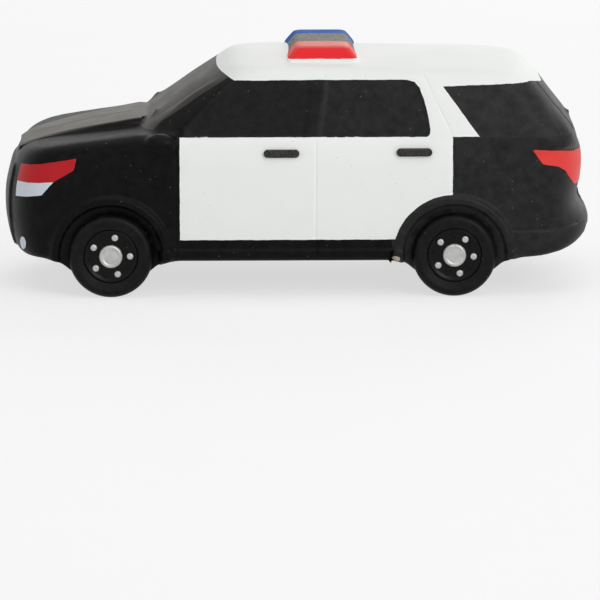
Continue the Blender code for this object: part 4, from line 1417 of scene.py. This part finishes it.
@dataclass(frozen=True)
class Handle:
    """Door handle: a bar with round ends that stands a little proud of its door."""

    length: float = 6.55
    height: float = 1.45
    proud: float = 0.35
    wall: float = 22.0          # half width of the toy at the door
    root: float = 0.8           # how deep the bar reaches into the door
    edge: float = 0.3           # radius of the face's soft edge
    edge_start: float = 0.2     # first angle of that edge
    edge_points: int = 6
    end_points: int = 17        # points on each round end
    # columns: door, x, height
    places: tuple[tuple[str, float, float], ...] = (("front", 3.0, 26.85), ("rear", -21.4, 27.0))

    def build(self, finishes: dict[str, bpy.types.Material]) -> None:
        """Make all four handles.

        Args:
            finishes: all finishes by name.
        """
        for corner, x, z in self.places:
            for side in Side:
                name = f"handle_{corner}_{side.label}"
                piece = self.bar(f"{name}_paint", x, z, side, finishes["handle"])
                dress(piece, "handle", name)

    def bar(self, name: str, x: float, z: float, side: Side,
            material: bpy.types.Material) -> bpy.types.Object:
        """One handle with a softly rounded face.

        Args:
            name: name of the piece.
            x: its middle along the toy.
            z: its height.
            side: side of the toy.
            material: finish.

        Returns:
            The handle.
        """
        turns = np.linspace(0.0, math.pi, self.end_points)
        rings = []
        levels = [(0.0, -self.root), (0.0, self.proud - self.edge)]
        levels += [(self.edge * (1.0 - math.cos(a)), self.proud - self.edge * (1.0 - math.sin(a)))
                   for a in np.linspace(self.edge_start, math.pi / 2, self.edge_points)]
        for inset, out in levels:
            radius, half = self.height / 2 - inset, (self.length - self.height) / 2
            u = np.concatenate([half + radius * np.sin(turns), -half - radius * np.sin(turns)])
            v = np.concatenate([radius * np.cos(turns), -radius * np.cos(turns)])
            rings.append(np.stack([x + u, np.full(u.shape, side.value * (self.wall + out)), z + v], axis=1))
        surface = rings_surface(np.array(rings))
        made = new_object(name, surface.points, surface.faces, None, material)
        clean_mesh(made)
        return made


@dataclass(frozen=True)
class LightBar:
    """Light bar: a leaning loaf on the roof in a red, a grey and a blue field."""

    middle: float = -4.75
    overspray: float = 43.05    # the roof's white reaches up to here on the red end
    split: float = 5.2          # half width of the grey field
    corner: float = 1.1
    corner_points: int = 9
    end_points: int = 14        # between the corners, along each end
    side_points: int = 24       # the same along the front and the rear
    steps_between: int = 5      # rings from one level to the next
    shell_thickness: float = 0.8
    # columns: height, half length along x, half width along y
    levels: Table = ((41.0, 6.8, 13.1), (42.0, 6.7, 12.95), (42.8, 6.55, 12.8), (43.8, 5.9, 12.25),
                     (44.5, 5.35, 11.8), (44.95, 4.95, 11.45), (45.18, 4.5, 11.0), (45.25, 3.9, 10.4),
                     (45.3, 2.0, 8.5))

    def surface(self) -> Surface:
        """The whole loaf, cut along the edges of its fields.

        Returns:
            Its skin.
        """
        order = tuple(range(len(self.levels)))
        steps = np.linspace(0, len(order) - 1, self.steps_between * (len(order) - 1) + 1)
        heights, lengths, widths = (monotone(tuple(zip(order, column)), steps)
                                    for column in zip(*self.levels))
        turn = np.linspace(0.0, math.pi / 2, self.corner_points)
        r = self.corner
        rings = []
        for z, a, b in zip(heights, lengths, widths):
            end = np.linspace(a - r, -(a - r), self.end_points + 2)[1:-1]
            edge = np.linspace(b - r, -(b - r), self.side_points + 2)[1:-1]
            u = np.concatenate([a - r + r * np.cos(turn), end, -(a - r) - r * np.sin(turn)])
            v = np.concatenate([b - r + r * np.sin(turn), np.full(end.shape, b), b - r + r * np.cos(turn)])
            x = np.concatenate([u, np.full(edge.shape, -a), -u, np.full(edge.shape, a)])
            y = np.concatenate([v, edge, -v, -edge])
            rings.append(np.stack([self.middle + x, y, np.full(x.shape, z)], axis=1))
        surface = rings_surface(np.array(rings))
        for side in Side:
            surface.cut(lambda p: strayed(p[:, 0], p[:, 1])[1] - side.value * self.split)
        surface.cut(lambda p: strayed(p[:, 0], p[:, 2])[1] - self.overspray)
        return surface

    def build(self, finishes: dict[str, bpy.types.Material]) -> None:
        """Make the three fields of the bar and the white that strayed onto its red end.

        Args:
            finishes: all finishes by name.
        """
        surface = self.surface()
        normals, centre = surface.normals(), surface.centres()
        _, y = strayed(centre[:, 0], centre[:, 1])
        white = (strayed(centre[:, 0], centre[:, 2])[1] < self.overspray) & (y > self.split)
        # columns: piece, finish, faces, node
        for name, finish, chosen, node in (
                ("light_bar_foot_paint", "white", white, "light_bar_red"),
                ("light_bar_red_paint", "bar_red", (y > self.split) & ~white, "light_bar_red"),
                ("light_bar_centre_paint", "grey", np.abs(y) < self.split, "light_bar_centre"),
                ("light_bar_blue_paint", "bar_blue", y < -self.split, "light_bar_blue")):
            piece = shell(name, surface, normals, chosen, self.shell_thickness, finishes[finish])
            dress(piece, finish, node)


def add_node(tree: bpy.types.NodeTree, kind: str, inputs: dict, **settings: object) -> bpy.types.Node:
    """Add a node to a tree.

    Args:
        tree: the tree.
        kind: the node's type name.
        inputs: socket names or numbers, each with the socket to link from or the value to set.
        settings: the node's own properties.

    Returns:
        The node.
    """
    node = tree.nodes.new(kind)
    for name, value in settings.items():
        setattr(node, name, value)
    for name, value in inputs.items():
        if isinstance(value, bpy.types.NodeSocket):
            tree.links.new(value, node.inputs[name])
        else:
            node.inputs[name].default_value = value
    return node


@dataclass(frozen=True)
class SprayedPaint:
    """Water-based paint sprayed on the skin of moulded polyurethane foam.

    The foam's skin has fine pores and soft swells, which the thin paint doesn't level.
    """

    name: str
    colour: str
    cloud: str                  # colour of the paint where it lies thin
    roughness: float = 0.5
    gloss: float = 0.18         # strength of the mirror layer, 0.5 being that of a clear coat
    cloud_share: float = 0.3    # how much of the cloud colour shows
    cloud_mm: float = 9.0       # size of the clouds
    pore_mm: float = 0.55       # size of the foam's pores
    pore_depth_mm: float = 0.012
    swell_depth_mm: float = 0.05
    metallic: float = 0.0
    sheen_top_colour: str = ""        # painted sheen: paler colour where the surface faces up, if any
    speck: str = "#6c6c69"
    speck_share: float = 0.0    # share of the cells that hold a dust speck
    speck_cell_mm: float = 0.9
    speck_mm: float = 0.22
    swell_mm: float = 6.0       # size of the soft swells
    cloud_range: tuple[float, float] = (0.35, 0.75)     # noise at which the clouds start and are full
    rough_range: tuple[float, float] = (0.3, 0.7)       # noise from the smoothest to the roughest paint
    rough_change: tuple[float, float] = (-0.05, 0.07)   # change of the roughness at its two ends
    top_range: tuple[float, float] = (0.62, 0.9)        # upward share of the normal: painted sheen 0 and 1

    def material(self) -> bpy.types.Material:
        """The finish as a material.

        Returns:
            The material.
        """
        made = bpy.data.materials.new(self.name)
        made.use_nodes = True
        tree = made.node_tree
        tree.nodes.clear()
        place = add_node(tree, "ShaderNodeTexCoord", {}).outputs["Object"]
        clouds = add_node(tree, "ShaderNodeTexNoise", {
            "Vector": place, "Scale": 1.0 / (self.cloud_mm * MM), "Detail": 4.0, "Roughness": 0.6})
        spread = add_node(tree, "ShaderNodeMapRange", {
            "Value": clouds.outputs["Fac"], "From Min": self.cloud_range[0],
            "From Max": self.cloud_range[1], "To Min": 0.0, "To Max": self.cloud_share})
        colour = add_node(tree, "ShaderNodeMix", {
            "Factor": spread.outputs["Result"], "A": linear(self.colour), "B": linear(self.cloud)},
            data_type="RGBA")
        tint = colour.outputs["Result"]
        if self.speck_share:
            tint = self.specks(tree, place, tint)
        pores = add_node(tree, "ShaderNodeTexNoise", {
            "Vector": place, "Scale": 1.0 / (self.pore_mm * MM), "Detail": 2.0, "Roughness": 0.5})
        swells = add_node(tree, "ShaderNodeTexNoise", {
            "Vector": place, "Scale": 1.0 / (self.swell_mm * MM), "Detail": 1.0})
        fine = add_node(tree, "ShaderNodeBump", {
            "Height": pores.outputs["Fac"], "Strength": 1.0, "Distance": self.pore_depth_mm * MM})
        wide = add_node(tree, "ShaderNodeBump", {
            "Height": swells.outputs["Fac"], "Strength": 1.0, "Distance": self.swell_depth_mm * MM,
            "Normal": fine.outputs["Normal"]})
        rough = add_node(tree, "ShaderNodeMapRange", {
            "Value": clouds.outputs["Fac"], "From Min": self.rough_range[0],
            "From Max": self.rough_range[1], "To Min": self.roughness + self.rough_change[0],
            "To Max": self.roughness + self.rough_change[1]})
        # painted sheen: a paler colour where the surface faces up
        if self.sheen_top_colour:
            tint = self.paint_top_sheen(tree, tint)
        shader = add_node(tree, "ShaderNodeBsdfPrincipled", {
            "Base Color": tint, "Specular IOR Level": self.gloss, "Metallic": self.metallic,
            "Roughness": rough.outputs["Result"], "Normal": wide.outputs["Normal"]})
        add_node(tree, "ShaderNodeOutputMaterial", {"Surface": shader.outputs["BSDF"]})
        return made

    def paint_top_sheen(self, tree: bpy.types.NodeTree, tint: bpy.types.NodeSocket) -> bpy.types.NodeSocket:
        """Mix in a paler colour where the surface faces up: painted sheen of the light from above.

        Args:
            tree: the material's nodes.
            tint: the colour so far.

        Returns:
            The mixed colour.
        """
        surface = add_node(tree, "ShaderNodeNewGeometry", {})
        facing = add_node(tree, "ShaderNodeSeparateXYZ", {"Vector": surface.outputs["Normal"]})
        share = add_node(tree, "ShaderNodeMapRange", {
            "Value": facing.outputs["Z"], "From Min": self.top_range[0], "From Max": self.top_range[1],
            "To Min": 0.0, "To Max": 1.0})
        mixed = add_node(tree, "ShaderNodeMix", {
            "Factor": share.outputs["Result"], "A": tint, "B": linear(self.sheen_top_colour)},
            data_type="RGBA")
        return mixed.outputs["Result"]

    def specks(self, tree: bpy.types.NodeTree, place: bpy.types.NodeSocket,
               tint: bpy.types.NodeSocket) -> bpy.types.NodeSocket:
        """Mix pale dust specks into a colour.

        Args:
            tree: the material's nodes.
            place: where on the toy the point lies.
            tint: the colour so far.

        Returns:
            The mixed colour.
        """
        cells = add_node(tree, "ShaderNodeTexVoronoi", {
            "Vector": place, "Scale": 1.0 / (self.speck_cell_mm * MM)})
        value = add_node(tree, "ShaderNodeSeparateColor", {"Color": cells.outputs["Color"]})
        chosen = add_node(tree, "ShaderNodeMath", {0: value.outputs["Red"], 1: self.speck_share},
                          operation="LESS_THAN")
        radius = self.speck_mm / 2 / self.speck_cell_mm
        close = add_node(tree, "ShaderNodeMapRange", {
            "Value": cells.outputs["Distance"], "From Min": radius / 2, "From Max": radius,
            "To Min": 1.0, "To Max": 0.0})
        both = add_node(tree, "ShaderNodeMath", {0: chosen.outputs["Value"], 1: close.outputs["Result"]},
                        operation="MULTIPLY")
        mixed = add_node(tree, "ShaderNodeMix", {
            "Factor": both.outputs["Value"], "A": tint, "B": linear(self.speck)}, data_type="RGBA")
        return mixed.outputs["Result"]


def make_finishes() -> dict[str, bpy.types.Material]:
    """All finishes by name.

    Returns:
        The materials.
    """
    paints = {
        # dull sheen, faint brown clouds where the coat is thin, and specks of dust caught in it
        "black": SprayedPaint("satin black paint on moulded PU foam", "#060607", "#151514", 0.4, gloss=0.08,
                              cloud_share=0.8, cloud_mm=1.6, speck_share=0.1),
        # a paler copy of the black, on the quarters, the tailgate and the rear bumper, which look dark grey
        "rear_black": SprayedPaint("thinly sprayed satin black paint on moulded PU foam", "#151515",
                                   "#2b2b2b", 0.42, gloss=0.15, cloud_share=0.8, cloud_mm=1.8,
                                   speck_share=0.14),
        # painted sheen: a warm grey where the hood faces up, for the light from above
        "hood": SprayedPaint("thin satin black paint on moulded PU foam hood", "#060607", "#151514", 0.42,
                             gloss=0.1, cloud_share=0.4, cloud_mm=5.0, sheen_top_colour="#5e5b55"),
        # a second black that dries a little paler than the body's
        "window": SprayedPaint("window black paint on moulded PU foam", "#101011", "#1f1f1f", 0.4,
                               gloss=0.11, cloud_share=0.8, cloud_mm=1.6, speck_share=0.08),
        # the same black, paler from window to window towards the tail
        "middle_window": SprayedPaint("thinner window black paint on moulded PU foam", "#161617", "#292929",
                                      0.4, gloss=0.12, cloud_share=0.8, cloud_mm=1.6, speck_share=0.1),
        "back_window": SprayedPaint("thinnest window black paint on moulded PU foam", "#1f1f1f", "#343433",
                                    0.4, gloss=0.12, cloud_share=0.8, cloud_mm=2.0, speck_share=0.1),
        # painted sheen: a brownish grey where its slope faces up, for the light from above
        "windshield": SprayedPaint("thin window black paint on moulded PU foam windshield", "#0e0e0f",
                                   "#1b1b1b", 0.45, cloud_share=0.3, cloud_mm=5.0, sheen_top_colour="#3c3a35"),
        # small brown clouds of wear and the most dust
        "tyre": SprayedPaint("matte black paint on moulded PU foam tyre", "#080809", "#1b1a19", 0.45,
                             gloss=0.12, cloud_share=0.8, cloud_mm=1.2, speck_share=0.14),
        # the deepest and smoothest black, down in the dish
        "rim": SprayedPaint("black paint on moulded PU foam rim", "#020202", "#080808", 0.3, gloss=0.15,
                            speck_share=0.1),
        # so thin that the pale foam shows through in small spots
        "handle": SprayedPaint("thin black paint on moulded PU foam handle", "#0d0d0d", "#5a5852", 0.5,
                               cloud_share=0.7, cloud_mm=0.35),
        # chalky and even, with nearly no mirror and a few grey specks
        "white": SprayedPaint("matte white paint on moulded PU foam", "#f3f5f3", "#ecefec", 0.65, gloss=0.1,
                              speck="#b4b4b0", speck_share=0.06, speck_mm=0.2),
        # deep red with a soft light on its edge
        "red": SprayedPaint("red paint on moulded PU foam lamp", "#b61820", "#c42a30", 0.42),
        # a brighter, more orange red
        "tail": SprayedPaint("bright red paint on moulded PU foam lamp", "#e63e3a", "#e44a44", 0.42),
        # pale grey-blue, the lightest paint beside the white
        "pale": SprayedPaint("pale paint on moulded PU foam lamp", "#d2dbe2", "#c8d1d8", 0.42),
        # light bar: flat colours, with a paler painted sheen where they face up
        "bar_red": SprayedPaint("red paint on moulded PU foam light bar", "#ec2a31", "#ea3b3f", 0.45,
                                gloss=0.12, sheen_top_colour="#d96259"),
        "bar_blue": SprayedPaint("blue paint on moulded PU foam light bar", "#0a4fae", "#1c60b4", 0.6,
                                 gloss=0.05, sheen_top_colour="#2058a8"),
        # light and dark grains on a rough ground
        "grey": SprayedPaint("speckled grey paint on moulded PU foam", "#555550", "#9a9c92", 0.7,
                             cloud_share=0.9, cloud_mm=0.5, pore_depth_mm=0.04),
        # metal flakes: a soft bright shine with dull clouds
        "silver": SprayedPaint("silver paint on moulded PU foam", "#c4c4c2", "#8c8c88", 0.34, gloss=0.5,
                               cloud_share=0.5, cloud_mm=1.2, metallic=0.55),
        # yellowish, dull and open-pored
        "foam": SprayedPaint("bare moulded PU foam where the paint has chipped", "#c9bda9", "#9c8f7c", 0.8,
                             gloss=0.1, cloud_share=0.8, cloud_mm=0.5, pore_mm=0.3, pore_depth_mm=0.08),
    }
    return {key: paint.material() for key, paint in paints.items()}


@dataclass(frozen=True)
class Studio:
    """Camera, pale floor and soft lamps."""

    distance: float = 900.0
    elevation: float = 11.0
    yaw: float = 1.2            # how far the camera stands towards the nose
    scale: float = 5.29         # photo pixels to a millimetre in the middle plane
    frame_px: float = 600.0
    origin_px: tuple[float, float] = (295.4, 274.7)
    sensor: float = 36.0
    clip: tuple[float, float] = (0.01, 20.0)
    floor_half: float = 4.0     # metres
    fibre_mm: float = 2.5
    paper_white: float = 0.65   # how far the floor that the camera sees is lifted to white
    # the surround's light at the horizon and from sky_height, a share of the way to the zenith, up
    horizon_light: float = 1.0
    sky_light: float = 0.28
    sky_height: float = 0.5
    # columns: name, place in metres, size in metres, power in watts
    lights: tuple[tuple[str, tuple[float, float, float], float, float], ...] = (
        ("overhead", (0.0, 0.1, 0.9), 0.9, 2.7),
        ("camera side", (-0.6, 0.85, 0.6), 0.6, 4.2),
        ("far side", (-0.3, -0.95, 0.6), 0.6, 3.6))

    def build(self) -> None:
        """Make the whole studio."""
        self.camera()
        self.floor()
        self.lamps()
        self.world()

    def camera(self) -> None:
        """Camera that sees the toy's left side as the photo's upper view does."""
        data = bpy.data.cameras.new("camera")
        data.sensor_width = self.sensor
        data.lens = self.sensor * self.distance * self.scale / self.frame_px
        data.clip_start, data.clip_end = self.clip
        made = bpy.data.objects.new("camera", data)
        yaw, pitch = math.radians(self.yaw), math.radians(self.elevation)
        back = Vector((math.sin(yaw) * math.cos(pitch), math.cos(yaw) * math.cos(pitch), math.sin(pitch)))
        place = back * self.distance * MM
        straight = (-back).to_track_quat("-Z", "Y")
        right, up = straight @ Vector((1, 0, 0)), straight @ Vector((0, 1, 0))
        across = (self.frame_px / 2 - self.origin_px[0]) / self.scale * MM
        down = (self.frame_px / 2 - self.origin_px[1]) / self.scale * MM
        target = right * across - up * down
        made.location = place
        made.rotation_mode = "QUATERNION"
        made.rotation_quaternion = (target - place).to_track_quat("-Z", "Y")
        bpy.context.scene.collection.objects.link(made)
        bpy.context.scene.camera = made

    def seen(self, tree: bpy.types.NodeTree) -> bpy.types.NodeSocket:
        """Tell the rays that show the background, straight, mirrored or through glass, from the rest.

        Args:
            tree: nodes of the floor or the surround.

        Returns:
            1 for those rays, 0 for others.
        """
        path = add_node(tree, "ShaderNodeLightPath", {}).outputs
        mirrored = add_node(tree, "ShaderNodeMath", {
            0: path["Is Glossy Ray"], 1: path["Is Transmission Ray"]}, operation="MAXIMUM")
        return add_node(tree, "ShaderNodeMath", {0: path["Is Camera Ray"], 1: mirrored.outputs["Value"]},
                        operation="MAXIMUM").outputs["Value"]

    def floor(self) -> None:
        """Plain pale floor that keeps the toy's shadow."""
        half = self.floor_half
        mesh = bpy.data.meshes.new("floor")
        mesh.from_pydata([(-half, -half, 0), (half, -half, 0), (half, half, 0), (-half, half, 0)], [],
                         [(0, 1, 2, 3)])
        material = bpy.data.materials.new("matte white paper floor")
        material.use_nodes = True
        tree = material.node_tree
        tree.nodes.clear()
        fibres = add_node(tree, "ShaderNodeTexNoise", {"Scale": 1.0 / (self.fibre_mm * MM), "Detail": 2.0})
        shade = add_node(tree, "ShaderNodeMix", {"Factor": fibres.outputs["Fac"], "A": linear("#f7f7f7"),
                                                 "B": linear("#f4f4f4")}, data_type="RGBA")
        shader = add_node(tree, "ShaderNodeBsdfPrincipled", {"Base Color": shade.outputs["Result"],
                                                             "Roughness": 0.9})
        share = add_node(tree, "ShaderNodeMath", {0: self.seen(tree), 1: self.paper_white},
                         operation="MULTIPLY")
        white = add_node(tree, "ShaderNodeEmission", {"Color": (1, 1, 1, 1), "Strength": 1.0})
        mixed = add_node(tree, "ShaderNodeMixShader", {0: share.outputs["Value"], 1: shader.outputs["BSDF"],
                                                       2: white.outputs["Emission"]})
        add_node(tree, "ShaderNodeOutputMaterial", {"Surface": mixed.outputs["Shader"]})
        mesh.materials.append(material)
        made = bpy.data.objects.new("floor", mesh)
        bpy.context.scene.collection.objects.link(made)

    def lamps(self) -> None:
        """Soft boxes: a wide one above, one beside the camera and one on the far side."""
        for name, place, size, power in self.lights:
            data = bpy.data.lights.new(name, "AREA")
            data.shape = "SQUARE"
            data.size = size
            data.energy = power
            lamp = bpy.data.objects.new(name, data)
            lamp.location = place
            lamp.rotation_mode = "QUATERNION"
            lamp.rotation_quaternion = (-Vector(place)).to_track_quat("-Z", "Y")
            bpy.context.scene.collection.objects.link(lamp)

    def world(self) -> None:
        """Surround that lights the toy most from the horizon, and is white where it is seen."""
        world = bpy.data.worlds.new("surround")
        bpy.context.scene.world = world
        world.use_nodes = True
        tree = world.node_tree
        tree.nodes.clear()
        where = add_node(tree, "ShaderNodeSeparateXYZ", {"Vector": add_node(
            tree, "ShaderNodeTexCoord", {}).outputs["Generated"]})
        height = add_node(tree, "ShaderNodeMapRange", {
            "Value": where.outputs["Z"], "From Min": 0.0, "From Max": self.sky_height,
            "To Min": self.horizon_light, "To Max": self.sky_light})
        light = add_node(tree, "ShaderNodeBackground", {"Color": (1, 1, 1, 1),
                                                        "Strength": height.outputs["Result"]})
        white = add_node(tree, "ShaderNodeBackground", {"Color": (1, 1, 1, 1), "Strength": 1.0})
        mixed = add_node(tree, "ShaderNodeMixShader", {0: self.seen(tree),
                                                       1: light.outputs["Background"],
                                                       2: white.outputs["Background"]})
        add_node(tree, "ShaderNodeOutputWorld", {"Surface": mixed.outputs["Shader"]})


def corners(box: tuple[Vector, Vector]) -> list[list[float]]:
    """A box's two corners as lists that can be written to a file."""
    return [list(corner) for corner in box]


def main() -> None:
    """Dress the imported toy."""
    logging.basicConfig(level=logging.INFO, format="%(name)s %(message)s")
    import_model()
    bpy.context.scene.view_settings.view_transform = "Standard"
    Studio().build()
    finishes = make_finishes()
    skin = Skin()
    skin.pieces(skin.build(), finishes)
    Handle().build(finishes)
    LightBar().build(finishes)
    for corner in AXLES:
        for side in Side:
            Wheel().build(corner, side, finishes)


if __name__ == "__main__":
    main()
